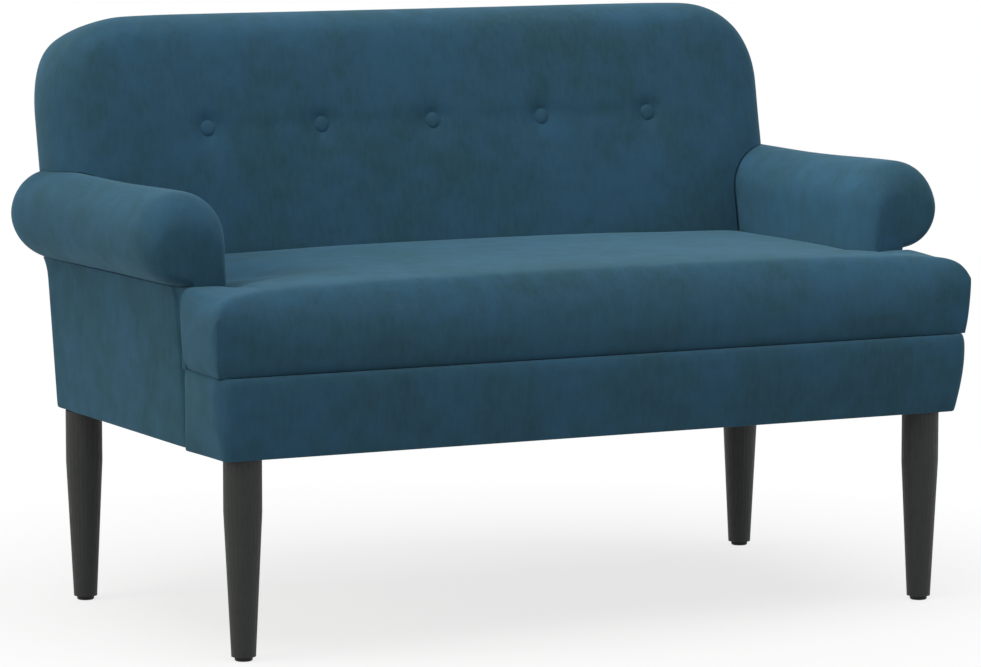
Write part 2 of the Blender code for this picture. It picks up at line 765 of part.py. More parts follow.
def back_cover_shape():
    """Return the back cover's cage: a crowned slab with round top corners and a row of tufts."""
    half_step = BACK_CORNER / 2
    edge_columns = [BACK_SIDE - BACK_CORNER, BACK_SIDE - half_step, BACK_SIDE]
    tuft_columns = []
    for _, x in button_places():
        tuft_columns += [x - TUFT_HALF, x + TUFT_HALF]
    columns = [-x for x in reversed(edge_columns)] + tuft_columns + edge_columns
    tuft_low, tuft_high = BUTTON_HEIGHT - TUFT_HALF, BUTTON_HEIGHT + TUFT_HALF
    rows = [BACK_BOTTOM, (BACK_BOTTOM + tuft_low) / 2, tuft_low, tuft_high]
    rows += [BACK_HEIGHT - BACK_CORNER, BACK_HEIGHT - half_step, BACK_HEIGHT]
    near = GAP / 3

    def place(x, y):
        z = back_crown(x, y)
        tufted = min(abs(abs(x - middle) - TUFT_HALF) for _, middle in button_places()) < near
        if tufted and tuft_low - near < y < tuft_high + near:
            z -= TUFT_DEPTH
        beside, above = abs(x) - BACK_SIDE + BACK_CORNER, y - BACK_HEIGHT + BACK_CORNER
        if beside > near and above > near:
            pull = max(beside, above) / math.hypot(beside, above)
            x -= math.copysign(beside * (1 - pull), x)
            y -= above * (1 - pull)
        return (x, y, z)

    shape = cage_top(columns, rows, lambda x, y: True, place)
    rim = []
    for edge in shape.edges:
        along_bottom = all(abs(vert.co.y - BACK_BOTTOM) < near for vert in edge.verts)
        if edge.is_boundary and not along_bottom:
            rim.append(edge)
    wall_down(shape, rim, [BACK_FRAME_REAR], lambda point, level: (point.x, point.y, level))
    return shape


def back_foam_outline():
    """Return the back foam's outline: shoulders above the arms, narrower between them."""
    ease = COVER + BACK_FOAM_EASE
    wide, narrow = BACK_SIDE - ease, NOTCH_X - ease
    top, radius = BACK_HEIGHT - ease, BACK_CORNER - ease
    over_arm = ARM_HEIGHT + ease - FLOOR_TO_BASE - BOARD_FRONT * math.sin(RAKE)
    shoulder = over_arm / math.cos(RAKE)
    half = [(narrow, BACK_BOTTOM), (narrow, shoulder), (wide, shoulder)]
    half += arc((wide - radius, top - radius), radius, 0, 90, BACK_CORNER_STEPS)
    return half + [(-x, y) for x, y in reversed(half)]


def outer_back_outline():
    """Return the outer back panel's outline, wider above the arms than between them."""
    wide, top = BACK_SIDE - COVER / 2, BACK_HEIGHT - COVER / 2
    radius = BACK_CORNER - COVER / 2
    shoulder = (ARM_HEIGHT + GAP - FLOOR_TO_BASE) / math.cos(RAKE)
    half = [(ARM_OUTER, 0.0), (ARM_OUTER, shoulder), (wide, shoulder)]
    half += arc((wide - radius, top - radius), radius, 0, 90, BACK_CORNER_STEPS)
    return half + [(-x, y) for x, y in reversed(half)]


def make_back_frame(ties):
    """Build the back's posts, rails and board."""
    floor_cutter = add_cutter(
        "seat_frame_top",
        box_shape((-BASE_WIDTH, 0.0, 0.0), (BASE_WIDTH, 2 * BASE_DEPTH, FRAME_TOP + GAP)),
    )
    rail_side = BACK_FRAME_SIDE - BACK_POST_WIDTH - GAP
    post_top = BACK_FRAME_TOP - BACK_RAIL_HEIGHT - GAP
    for side, sign in SIDES.items():
        near, far = sorted((sign * (BACK_FRAME_SIDE - BACK_POST_WIDTH), sign * BACK_FRAME_SIDE))
        post = block(
            "back_post_" + side,
            (near, BAND_HEIGHT / 2, BACK_FRAME_REAR),
            (far, post_top, BACK_FRAME_FRONT),
            FRAME_WOOD,
            BACK,
        )
        cut(post, floor_cutter)
    block(
        "back_top_rail",
        (-BACK_FRAME_SIDE, post_top + GAP, BACK_FRAME_REAR),
        (BACK_FRAME_SIDE, BACK_FRAME_TOP, BACK_FRAME_FRONT),
        FRAME_WOOD,
        BACK,
    )
    rail_rear = BACK_FRAME_FRONT - BACK_RAIL_DEPTH
    button_rail = block(
        "back_button_rail",
        (-rail_side, BUTTON_HEIGHT - BACK_RAIL_HEIGHT / 2, rail_rear),
        (rail_side, BUTTON_HEIGHT + BACK_RAIL_HEIGHT / 2, BACK_FRAME_FRONT),
        FRAME_WOOD,
        BACK,
    )
    cut(button_rail, ties)
    block(
        "back_lower_rail",
        (-rail_side, BACK_BOTTOM, rail_rear),
        (rail_side, BACK_BOTTOM + BACK_RAIL_HEIGHT, BACK_FRAME_FRONT),
        FRAME_WOOD,
        BACK,
    )
    board = block(
        "back_board",
        (-BACK_FRAME_SIDE, BACK_BOTTOM, BOARD_REAR),
        (BACK_FRAME_SIDE, BACK_FRAME_TOP, BOARD_FRONT),
        HARDBOARD,
        BACK,
        edge=0.0,
    )
    cut(board, ties)


def tie_hole_cutter():
    """Return the holes that the buttons' ties pass through, as one cutting tool."""
    low, high = BACK_FRAME_FRONT - TIE_HOLD - GAP, BACK_THICKNESS + COVER
    holes = bmesh.new()
    for _, x in button_places():
        hole = bmesh.ops.create_cone(
            holes,
            cap_ends=True,
            segments=TIE_STEPS,
            radius1=TIE_RADIUS + BORE_GAP,
            radius2=TIE_RADIUS + BORE_GAP,
            depth=high - low,
        )
        bmesh.ops.translate(holes, vec=(x, BUTTON_HEIGHT, (low + high) / 2), verts=hole["verts"])
    return add_cutter("tie_holes", holes, BACK)


def make_buttons():
    """Seat a covered button in each tuft, with its tie held in the button rail."""
    for number, x in button_places():
        rows = (BUTTON_HEIGHT - TUFT_HALF, BUTTON_HEIGHT + TUFT_HALF)
        ring = [back_crown(x + i * TUFT_HALF, y) for i in (-1, 1) for y in rows]
        seat = sum(ring) / len(ring) - TUFT_DEPTH + GAP
        tie_end = BACK_FRAME_FRONT - TIE_HOLD - seat
        dome = arc((0.0, 0.0), 1.0, 90, 0, BUTTON_STEPS)
        profile = [(BUTTON_RADIUS * out, BUTTON_LIFT + BUTTON_RISE * up) for out, up in dome]
        profile += [(TIE_RADIUS, 0.0), (TIE_RADIUS, tie_end), (0.0, tie_end)]
        place = (x, BUTTON_HEIGHT, seat)
        turned(f"back_button_{number}", profile, VELVET, place, FINE_STEPS, parent=BACK)


def make_back():
    """Build the back: frame, foam, cover, buttons and outer panel."""
    ties = tie_hole_cutter()
    make_back_frame(ties)
    foam_rear = BOARD_FRONT + GAP
    foam_shape = outlined_shape(back_foam_outline(), BACK_FOAM_FRONT - foam_rear)
    foam = add_piece("back_foam", foam_shape, FOAM, BACK)
    foam.location.z = (foam_rear + BACK_FOAM_FRONT) / 2
    bevel(foam, BACK_FOAM_EDGE)
    cut(foam, ties, "MANIFOLD")
    cover = add_piece("back_cover", back_cover_shape(), VELVET, BACK)
    subdivide(cover)
    thicken(cover, COVER)
    cut(cover, ties)
    for side, sign in SIDES.items():
        cut(cover, arm_space_cutter(side, sign))
    shade_round(cover)
    make_buttons()
    outer = add_piece("outer_back_panel", outlined_shape(outer_back_outline(), PANEL), VELVET, BACK)
    outer.location.z = PANEL / 2
    bevel(outer, WOOD_EDGE)


def centre_on_floor():
    """Move the settee so that the origin is below the middle of its box."""
    bpy.context.view_layer.update()
    graph = bpy.context.evaluated_depsgraph_get()
    reach = []
    for piece in PARTS.objects:
        if piece.type == "EMPTY":
            continue
        seen = piece.evaluated_get(graph)
        reach += [(seen.matrix_world @ vert.co).y for vert in seen.to_mesh().vertices]
        seen.to_mesh_clear()
    ROOT.location.y = -(min(reach) + max(reach)) / 2


clear_scene()
PARTS = new_collection("settee")
CUTTERS = new_collection("settee_cutters")
ROOT = new_empty("settee_origin")
BACK = new_empty("back_plane", ROOT)
BACK.location = (0.0, BASE_DEPTH, FLOOR_TO_BASE)
BACK.rotation_euler.x = math.pi / 2 - RAKE

VELVET = new_material("teal velvet", (0.022, 0.064, 0.105), 0.85)
LEG_WOOD = new_material("black stained wood", (0.030, 0.033, 0.032), 0.55)
BLACK_PLASTIC = new_material("black plastic", (0.012, 0.012, 0.012), 0.5)
STEEL = new_material("bright steel", (0.55, 0.55, 0.56), 0.35, 1.0)
FRAME_WOOD = new_material("pine", (0.55, 0.38, 0.21), 0.7)
PLYWOOD = new_material("plywood", (0.52, 0.37, 0.22), 0.7)
HARDBOARD = new_material("hardboard", (0.22, 0.13, 0.07), 0.75)
FOAM = new_material("cream foam", (0.78, 0.70, 0.50), 0.95)
DECK_FABRIC = new_material("deck felt", (0.30, 0.30, 0.30), 0.95)
DUST_FABRIC = new_material("black dust cloth", (0.015, 0.015, 0.016), 0.95)

make_legs()
make_seat_frame()
make_springs()
make_seat()
for arm_side, arm_sign in SIDES.items():
    make_arm(arm_side, arm_sign)
make_back()
centre_on_floor()
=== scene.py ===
"""A two-seat settee: velvet upholstery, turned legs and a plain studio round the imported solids."""

import logging
import math
from collections.abc import Callable, Iterable, Sequence
from dataclasses import dataclass
from enum import Enum

import bmesh
import bpy
from mathutils import Matrix, Vector


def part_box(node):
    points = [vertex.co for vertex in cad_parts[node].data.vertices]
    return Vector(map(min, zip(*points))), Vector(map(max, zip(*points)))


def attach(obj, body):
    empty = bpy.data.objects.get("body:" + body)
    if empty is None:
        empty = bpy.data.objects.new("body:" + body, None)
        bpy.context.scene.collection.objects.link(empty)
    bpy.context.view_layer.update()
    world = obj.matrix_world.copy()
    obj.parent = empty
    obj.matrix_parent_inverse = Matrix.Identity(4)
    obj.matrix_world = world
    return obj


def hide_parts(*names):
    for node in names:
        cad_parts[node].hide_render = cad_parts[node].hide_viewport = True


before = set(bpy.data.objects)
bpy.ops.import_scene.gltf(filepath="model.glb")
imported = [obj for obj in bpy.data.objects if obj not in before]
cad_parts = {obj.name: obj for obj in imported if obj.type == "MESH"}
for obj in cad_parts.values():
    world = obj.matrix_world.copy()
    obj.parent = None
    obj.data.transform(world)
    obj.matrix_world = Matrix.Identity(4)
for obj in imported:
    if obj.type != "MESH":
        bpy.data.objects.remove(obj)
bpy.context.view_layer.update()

LOG = logging.getLogger("settee")
Colour = tuple[float, float, float]
Spot = tuple[float, float, float]
Flat = tuple[float, float]
WHITE = (1.0, 1.0, 1.0, 1.0)
UP = Vector((0.0, 0.0, 1.0))
# Distances of the first grid lines beside a seam, and of those round a button
SEAM_STEP = (0.0, 0.006)
BUTTON_STEP = (0.0, 0.0045, 0.009, 0.014, 0.020, 0.028, 0.040, 0.053, 0.067)
NEAR_BUTTON = tuple(sign * step for step in BUTTON_STEP for sign in (-1, 1))


class Side(Enum):
    """The settee's two ends, with the sign of x at each."""

    LEFT = -1
    RIGHT = 1

    @property
    def word(self) -> str:
        """Return the side's name as the nodes spell it."""
        return self.name.lower()


class Grain(Enum):
    """The axis that a timber's grain follows, as the stretch of the pattern along x, y and z."""

    ACROSS = (0.06, 1.0, 1.0)
    DEEP = (1.0, 0.06, 1.0)
    UPRIGHT = (1.0, 1.0, 0.06)


# Shader helpers


class Tree:
    """A node tree being filled, for a material or for a node group."""

    def __init__(self, tree: bpy.types.NodeTree) -> None:
        """Keep the tree."""
        self.tree = tree

    def add(self, kind: str, **values: object) -> bpy.types.Node:
        """Add a node and set its own settings.

        Args:
            kind: The node's type name.
            **values: Attributes of the node.

        Returns:
            The new node.
        """
        node = self.tree.nodes.new(kind)
        for name, value in values.items():
            setattr(node, name, value)
        return node

    def link(self, source: bpy.types.NodeSocket, target: bpy.types.NodeSocket) -> None:
        """Join two sockets."""
        self.tree.links.new(source, target)

    def put(self, socket: bpy.types.NodeSocket, value: object) -> None:
        """Link an output to a socket, or set the socket's own value.

        Args:
            socket: The input socket.
            value: An output socket or a plain value.
        """
        if isinstance(value, bpy.types.NodeSocket):
            self.link(value, socket)
        else:
            socket.default_value = value

    def feed(self, node: bpy.types.Node, **inputs: object) -> bpy.types.Node:
        """Set or link a node's inputs by name, with underscores for spaces.

        Args:
            node: The node whose inputs are set.
            **inputs: Values, or output sockets to link.

        Returns:
            The same node.
        """
        for name, value in inputs.items():
            self.put(node.inputs[name.replace("_", " ")], value)
        return node

    def place(self) -> bpy.types.NodeSocket:
        """Return the place on the object, where patterns are read."""
        return self.add("ShaderNodeTexCoord").outputs["Object"]

    def noise(self, vector: bpy.types.NodeSocket, scale: object, detail: float,
              roughness: float) -> bpy.types.NodeSocket:
        """Add a noise pattern.

        Args:
            vector: Where the pattern is read.
            scale: Features per metre, or a socket that gives it.
            detail: Octaves of finer noise.
            roughness: How strong the finer noise is.

        Returns:
            The pattern's value, about 0 to 1.
        """
        node = self.add("ShaderNodeTexNoise")
        self.feed(node, Vector=vector, Scale=scale, Detail=detail, Roughness=roughness)
        return node.outputs["Fac"]

    def span(self, value: bpy.types.NodeSocket, low: float, high: float,
             to_low: float = 0.0, to_high: float = 1.0) -> bpy.types.NodeSocket:
        """Map a value from one range to another, held at the ends.

        Args:
            value: The socket to map.
            low: Start of the source range.
            high: End of the source range.
            to_low: What the start becomes.
            to_high: What the end becomes.

        Returns:
            The mapped value.
        """
        node = self.add("ShaderNodeMapRange", clamp=True)
        self.feed(node, Value=value, From_Min=low, From_Max=high, To_Min=to_low, To_Max=to_high)
        return node.outputs["Result"]

    def math(self, operation: str, first: object, second: object) -> bpy.types.NodeSocket:
        """Join two values by arithmetic.

        Args:
            operation: The Math node's operation.
            first: A value or a socket.
            second: A value or a socket.

        Returns:
            The result.
        """
        node = self.add("ShaderNodeMath", operation=operation)
        self.put(node.inputs[0], first)
        self.put(node.inputs[1], second)
        return node.outputs[0]

    def part(self, value: bpy.types.NodeSocket, share: float) -> bpy.types.NodeSocket:
        """Return a share of a value."""
        return self.math("MULTIPLY", value, share)

    def blend(self, share: bpy.types.NodeSocket, first: object, second: object) -> bpy.types.NodeSocket:
        """Mix two colours.

        Args:
            share: How much of the second colour shows.
            first: A colour or a socket.
            second: A colour or a socket.

        Returns:
            The mixed colour.
        """
        node = self.add("ShaderNodeMix", data_type="RGBA")
        colours = [socket for socket in node.inputs if socket.type == "RGBA"]
        self.link(share, node.inputs["Factor"])
        for socket, value in zip(colours, (first, second)):
            linked = isinstance(value, bpy.types.NodeSocket)
            self.put(socket, value if linked else (*value, 1.0))
        return next(socket for socket in node.outputs if socket.type == "RGBA")

    def mix(self, share: bpy.types.NodeSocket, first: bpy.types.NodeSocket,
            second: bpy.types.NodeSocket) -> bpy.types.NodeSocket:
        """Mix two shaders.

        Args:
            share: How much of the second shader shows.
            first: A shader's output.
            second: A shader's output.

        Returns:
            The mixed shader.
        """
        node = self.add("ShaderNodeMixShader")
        for socket, source in zip(node.inputs, (share, first, second)):
            self.link(source, socket)
        return node.outputs["Shader"]


class Effects:
    """Node groups that several finishes share, each built once."""

    def __init__(self) -> None:
        """Build every group."""
        self.nap = self._nap()
        self.pile = self._pile()
        self.grain = self._grain()
        self.edge_wear_and_sheen = self._edge_wear_and_sheen()

    def _start(self, name: str, inputs: Sequence[tuple[str, float]],
               outputs: Sequence[str]) -> tuple[Tree, bpy.types.Node, bpy.types.Node]:
        """Start a group with float inputs and outputs.

        Args:
            name: The group's name.
            inputs: Each input's name and default.
            outputs: Each output's name.

        Returns:
            The tree helper, the group's input node and its output node.
        """
        group = bpy.data.node_groups.new(name, "ShaderNodeTree")
        for label, value in inputs:
            socket = group.interface.new_socket(name=label, in_out="INPUT", socket_type="NodeSocketFloat")
            socket.default_value = value
        for label in outputs:
            group.interface.new_socket(name=label, in_out="OUTPUT", socket_type="NodeSocketFloat")
        tree = Tree(group)
        return tree, tree.add("NodeGroupInput"), tree.add("NodeGroupOutput")

    def _nap(self) -> bpy.types.NodeTree:
        """Build the brushed nap: broad and small patches where the pile leans another way.

        Returns:
            The group, with a Lean mask for colour and a Stroke mask for faint brush marks.
        """
        patches = (("Broad", 9.0), ("Small", 34.0))
        tree, given, result = self._start("brushed_nap", patches, ("Lean", "Stroke"))
        place = tree.place()
        broad = tree.noise(place, given.outputs["Broad"], detail=2.0, roughness=0.5)
        small = tree.noise(place, given.outputs["Small"], detail=3.0, roughness=0.6)
        mixed = tree.math("ADD", tree.part(broad, 0.5), tree.part(small, 0.5))
        upright = tree.feed(tree.add("ShaderNodeMapping"), Vector=place, Scale=(1.0, 1.0, 0.22))
        stroke = tree.noise(upright.outputs["Vector"], scale=160.0, detail=2.0, roughness=0.55)
        tree.feed(result, Lean=tree.span(mixed, low=0.38, high=0.62),
                  Stroke=tree.span(stroke, low=0.35, high=0.7))
        return tree.tree

    def _pile(self) -> bpy.types.NodeTree:
        """Build the short pile of a woven cloth.

        Returns:
            The group, with a Height for bump and a Tip mask for the tufts' ends.
        """
        weave = (("Tufts", 900.0), ("Rows", 420.0))
        tree, given, result = self._start("short_pile", weave, ("Height", "Tip"))
        place = tree.place()
        tufts = tree.noise(place, given.outputs["Tufts"], detail=2.0, roughness=0.6)
        rows = tree.noise(place, given.outputs["Rows"], detail=1.0, roughness=0.5)
        height = tree.math("ADD", tree.part(tufts, 0.6), tree.part(rows, 0.4))
        tree.feed(result, Height=height, Tip=tree.span(tufts, low=0.4, high=0.7))
        return tree.tree

    def _grain(self) -> bpy.types.NodeTree:
        """Build timber grain that runs along the axis whose stretch is small.

        Returns:
            The group, with a Band mask for growth rings and a Fibre mask for fine pores.
        """
        stretch = (("Along X", 1.0), ("Along Y", 1.0), ("Along Z", 1.0), ("Rings", 60.0))
        tree, given, result = self._start("timber_grain", stretch, ("Band", "Fibre"))
        place = tree.place()
        join = tree.add("ShaderNodeCombineXYZ")
        for axis in "XYZ":
            tree.link(given.outputs[f"Along {axis}"], join.inputs[axis])
        mapping = tree.feed(tree.add("ShaderNodeMapping"), Vector=place, Scale=join.outputs["Vector"])
        along = mapping.outputs["Vector"]
        wobble = tree.noise(along, given.outputs["Rings"], detail=3.0, roughness=0.5)
        ring_turns = 34.0
        wave = tree.math("SINE", tree.part(wobble, ring_turns), 0.0)
        fibre = tree.noise(along, scale=900.0, detail=2.0, roughness=0.6)
        tree.feed(result, Band=tree.span(wave, low=-1.0, high=1.0),
                  Fibre=tree.span(fibre, low=0.4, high=0.65))
        return tree.tree

    def _edge_wear_and_sheen(self) -> bpy.types.NodeTree:
        """Build a mask along raised edges, broken up by noise: wear on timber, and on the velvet partly
        rubbed pile and partly a painted sheen highlight.

        Returns:
            The group, with an Edge mask.
        """
        tree, given, result = self._start("edge_wear_and_sheen_mask", (("Reach", 0.05), ("Patches", 90.0)), ("Edge",))
        sharp = tree.add("ShaderNodeNewGeometry").outputs["Pointiness"]
        level = 0.5
        raised = tree.math("DIVIDE", tree.math("SUBTRACT", sharp, level), given.outputs["Reach"])
        patches = tree.noise(tree.place(), given.outputs["Patches"], detail=3.0, roughness=0.6)
        broken = tree.math("MULTIPLY", raised, tree.span(patches, low=0.35, high=0.65, to_low=0.2))
        tree.feed(result, Edge=tree.span(broken, low=0.0, high=1.0))
        return tree.tree


class Shade:
    """A new material with a Principled shader, ready for a finish to fill."""

    def __init__(self, name: str) -> None:
        """Make the material.

        Args:
            name: The material's name.
        """
        self.material = bpy.data.materials.new(name)
        self.material.use_nodes = True
        self.tree = Tree(self.material.node_tree)
        self.shader = self.material.node_tree.nodes["Principled BSDF"]

    def group(self, effect: bpy.types.NodeTree, **inputs: float) -> bpy.types.Node:
        """Place a shared effect, with its inputs for this material."""
        return self.tree.feed(self.tree.add("ShaderNodeGroup", node_tree=effect), **inputs)

    def bump(self, height: bpy.types.NodeSocket, strength: float, depth: float) -> None:
        """Raise the surface's shading by a height pattern.

        Args:
            height: The pattern.
            strength: How much of it shows.
            depth: Its depth in metres.
        """
        node = self.tree.add("ShaderNodeBump")
        self.tree.feed(node, Height=height, Strength=strength, Distance=depth)
        self.tree.link(node.outputs["Normal"], self.shader.inputs["Normal"])

    def settle(self, **inputs: object) -> None:
        """Set the shader's own sockets."""
        self.tree.feed(self.shader, **inputs)


@dataclass(frozen=True)
class Velvet:
    """Short-pile velvet: two leanings of the nap, brush marks, pile and sheen."""

    smooth: Colour = (0.0300, 0.1000, 0.1720)
    brushed: Colour = (0.0265, 0.0795, 0.1100)
    tip: Colour = (0.048, 0.122, 0.182)
    stroke_share: float = 0.28
    tip_share: float = 0.22
    # Share of the paler tip colour on raised edges: partly rubbed pile, partly a painted sheen highlight.
    raised_edge_share: float = 0.25
    rough: Flat = (0.78, 0.92)
    gloss: float = 0.12
    sheen: float = 0.24
    sheen_tint: Colour = (0.34, 0.66, 0.82)
    sheen_roughness: float = 0.42
    pile_strength: float = 0.35
    pile_depth: float = 0.0007

    def material(self, effects: Effects) -> bpy.types.Material:
        """Build the velvet.

        Args:
            effects: The shared node groups.

        Returns:
            The material.
        """
        shade = Shade("velvet")
        tree = shade.tree
        nap = shade.group(effects.nap)
        pile = shade.group(effects.pile)
        edge_wear_and_sheen = shade.group(effects.edge_wear_and_sheen)
        ground = tree.blend(nap.outputs["Lean"], self.smooth, self.brushed)
        strokes = tree.part(nap.outputs["Stroke"], self.stroke_share)
        tips = tree.part(pile.outputs["Tip"], self.tip_share)
        ground = tree.blend(tree.math("ADD", strokes, tips), ground, self.tip)
        # Raised edges painted paler: partly rubbed pile, partly a painted sheen highlight along the rims.
        ground = tree.blend(tree.part(edge_wear_and_sheen.outputs["Edge"], self.raised_edge_share), ground, self.tip)
        rough = tree.span(nap.outputs["Lean"], 0.0, 1.0, *self.rough)
        shade.settle(Base_Color=ground, Roughness=rough, Sheen_Weight=self.sheen,
                     Sheen_Roughness=self.sheen_roughness, Sheen_Tint=(*self.sheen_tint, 1.0),
                     Specular_IOR_Level=self.gloss)
        shade.bump(pile.outputs["Height"], self.pile_strength, self.pile_depth)
        return shade.material


@dataclass(frozen=True)
class Timber:
    """Timber with growth rings, pores and worn edges."""

    name: str
    early: Colour
    late: Colour
    worn: Colour
    grain: Grain
    rings: float = 60.0
    rough: Flat = (0.5, 0.65)
    fibre_share: float = 0.3
    raised_edge_share: float = 0.5
    gloss: float = 0.35
    pore_strength: float = 0.25
    pore_depth: float = 0.0004

    def material(self, effects: Effects) -> bpy.types.Material:
        """Build the timber.

        Args:
            effects: The shared node groups.

        Returns:
            The material.
        """
        shade = Shade(self.name)
        tree = shade.tree
        along = dict(zip(("Along_X", "Along_Y", "Along_Z"), self.grain.value))
        grain = shade.group(effects.grain, Rings=self.rings, **along)
        edge_wear_and_sheen = shade.group(effects.edge_wear_and_sheen)
        ground = tree.blend(grain.outputs["Band"], self.early, self.late)
        ground = tree.blend(tree.part(grain.outputs["Fibre"], self.fibre_share), ground, self.late)
        ground = tree.blend(tree.part(edge_wear_and_sheen.outputs["Edge"], self.raised_edge_share), ground, self.worn)
        rough = tree.span(grain.outputs["Fibre"], 0.0, 1.0, *self.rough)
        shade.settle(Base_Color=ground, Roughness=rough, Specular_IOR_Level=self.gloss)
        shade.bump(grain.outputs["Fibre"], self.pore_strength, self.pore_depth)
        return shade.material


@dataclass(frozen=True)
class Metal:
    """Plain drawn steel with a little uneven polish."""

    name: str = "drawn_steel"
    bright: Colour = (0.55, 0.55, 0.56)
    dull: Colour = (0.36, 0.36, 0.37)
    broad: float = 40.0
    small: float = 260.0
    rough: Flat = (0.28, 0.5)
    mark_strength: float = 0.15
    mark_depth: float = 0.0002

    def material(self, effects: Effects) -> bpy.types.Material:
        """Build the steel.

        Args:
            effects: The shared node groups.

        Returns:
            The material.
        """
        shade = Shade(self.name)
        nap = shade.group(effects.nap, Broad=self.broad, Small=self.small)
        ground = shade.tree.blend(nap.outputs["Lean"], self.bright, self.dull)
        rough = shade.tree.span(nap.outputs["Stroke"], 0.0, 1.0, *self.rough)
        shade.settle(Base_Color=ground, Roughness=rough, Metallic=1.0)
        shade.bump(nap.outputs["Stroke"], self.mark_strength, self.mark_depth)
        return shade.material


@dataclass(frozen=True)
class Cloth:
    """Plain hidden cloth or moulded stuff: two colours, a fine tooth and no sheen."""

    name: str
    light: Colour
    dark: Colour
    tufts: float = 1400.0
    rough: Flat = (0.8, 0.95)
    depth: float = 0.0005
    row_share: float = 0.4
    broad: float = 20.0
    small: float = 140.0
    tip_share: float = 0.6
    lean_share: float = 0.4
    gloss: float = 0.2
    tooth_strength: float = 0.4

    def material(self, effects: Effects) -> bpy.types.Material:
        """Build the cloth.

        Args:
            effects: The shared node groups.

        Returns:
            The material.
        """
        shade = Shade(self.name)
        tree = shade.tree
        pile = shade.group(effects.pile, Tufts=self.tufts, Rows=self.tufts * self.row_share)
        nap = shade.group(effects.nap, Broad=self.broad, Small=self.small)
        lean = nap.outputs["Lean"]
        tips = tree.part(pile.outputs["Tip"], self.tip_share)
        share = tree.math("ADD", tips, tree.part(lean, self.lean_share))
        ground = tree.blend(share, self.dark, self.light)
        shade.settle(Base_Color=ground, Roughness=tree.span(lean, 0.0, 1.0, *self.rough),
                     Specular_IOR_Level=self.gloss)
        shade.bump(pile.outputs["Height"], self.tooth_strength, self.depth)
        return shade.material


class Finishes:
    """Every material of the settee."""

    def __init__(self) -> None:
        """Build the shared effects and all the materials."""
        effects = Effects()
        self.velvet = Velvet().material(effects)
        self.leg = Timber(
            "black_stained_beech", early=(0.0118, 0.0145, 0.0136), late=(0.0134, 0.0161, 0.0151),
            worn=(0.027, 0.030, 0.028), grain=Grain.UPRIGHT, rings=45.0, rough=(0.5, 0.66)).material(effects)
        self.pine = {grain: Timber(
            f"pine_{grain.name.lower()}", early=(0.62, 0.44, 0.25), late=(0.46, 0.28, 0.13),
            worn=(0.70, 0.54, 0.34), grain=grain).material(effects) for grain in Grain}
        self.plywood = Timber(
            "plywood", early=(0.60, 0.45, 0.28), late=(0.50, 0.36, 0.21),
            worn=(0.66, 0.52, 0.35), grain=Grain.DEEP, rings=40.0).material(effects)
        self.hardboard = Cloth(
            "hardboard", light=(0.24, 0.14, 0.07), dark=(0.16, 0.09, 0.045), tufts=700.0).material(effects)
        self.steel = Metal().material(effects)
        self.glide = Cloth(
            "black_nylon", light=(0.018, 0.018, 0.019), dark=(0.010, 0.010, 0.011), tufts=500.0,
            rough=(0.4, 0.55), depth=0.0002).material(effects)
        self.dust = Cloth(
            "spun_cloth", light=(0.022, 0.022, 0.024), dark=(0.011, 0.011, 0.012)).material(effects)
        self.felt = Cloth(
            "felt", light=(0.30, 0.29, 0.28), dark=(0.20, 0.19, 0.18), tufts=800.0).material(effects)


# Mesh helpers


def clamp(value: float) -> float:
    """Return a value held between 0 and 1."""
    return min(max(value, 0.0), 1.0)


def ramp(value: float, low: float, high: float) -> float:
    """Return a soft step from 0 at low to 1 at high."""
    share = clamp((value - low) / (high - low))
    return share * share * (3.0 - 2.0 * share)


def eased(reach: float, steps: int) -> list[float]:
    """Return distances from an edge that follow a quarter circle, close together at the edge."""
    return [reach * (1.0 - math.cos(math.pi / 2.0 * step / steps)) for step in range(steps + 1)]


def stations(low: float, high: float, low_edge: Sequence[float], high_edge: Sequence[float],
             step: float) -> list[float]:
    """Return places along a line, dense at its two ends and even between.

    Args:
        low: Start of the line.
        high: End of the line.
        low_edge: Distances of the first places from the start.
        high_edge: Distances of the last places from the end.
        step: The even spacing to aim for.

    Returns:
        The places, rising.
    """
    first = low + low_edge[-1]
    last = high - high_edge[-1]
    count = max(1, round((last - first) / step))
    middle = [first + (last - first) * index / count for index in range(1, count)]
    return [low + d for d in low_edge] + middle + [high - d for d in reversed(high_edge)]


def mirrored(half: Sequence[float]) -> list[float]:
    """Return places on both sides of zero from the places at and above it."""
    return [-place for place in reversed(half) if place > 0.0] + list(half)


def rounded(near: float, far: float, radius: float) -> float:
    """Return the distance to a corner's outline from the distances to its two sides.

    Args:
        near: Distance to one side.
        far: Distance to the other side.
        radius: The corner's radius.

    Returns:
        The distance to the round outline.
    """
    if near < radius and far < radius:
        return radius - math.hypot(radius - near, radius - far)
    return min(near, far)


def fall(distance: float, reach: float, depth: float, fullness: float = 2.0) -> float:
    """Return how far a padded edge has fallen at a distance from its outline.

    Args:
        distance: Distance inside the outline.
        reach: How far in the edge starts to fall.
        depth: The fall at the outline.
        fullness: 2 for a round edge, more for a squarer and fuller one.

    Returns:
        The fall.
    """
    share = max(0.0, 1.0 - max(distance, 0.0) / reach)
    return depth * (1.0 - max(0.0, 1.0 - share ** fullness) ** (1.0 / fullness))


def pull_round(spot: Flat, corner: Flat, radius: float, end: int) -> Flat:
    """Move a point of a square corner onto a round one.

    Args:
        spot: The point across and along.
        corner: The square corner across and along.
        radius: The round corner's radius.
        end: 1 where the corner is at the far end along, -1 where it is at the near end.

    Returns:
        The moved point.
    """
    sign = math.copysign(1.0, corner[0])
    middle = abs(corner[0]) - radius
    across = spot[0] * sign - middle
    along = (spot[1] - corner[1]) * end + radius
    if across <= 0.0 or along <= 0.0:
        return spot
    scale = max(across, along) / math.hypot(across, along)
    return (middle + across * scale) * sign, corner[1] + (along * scale - radius) * end


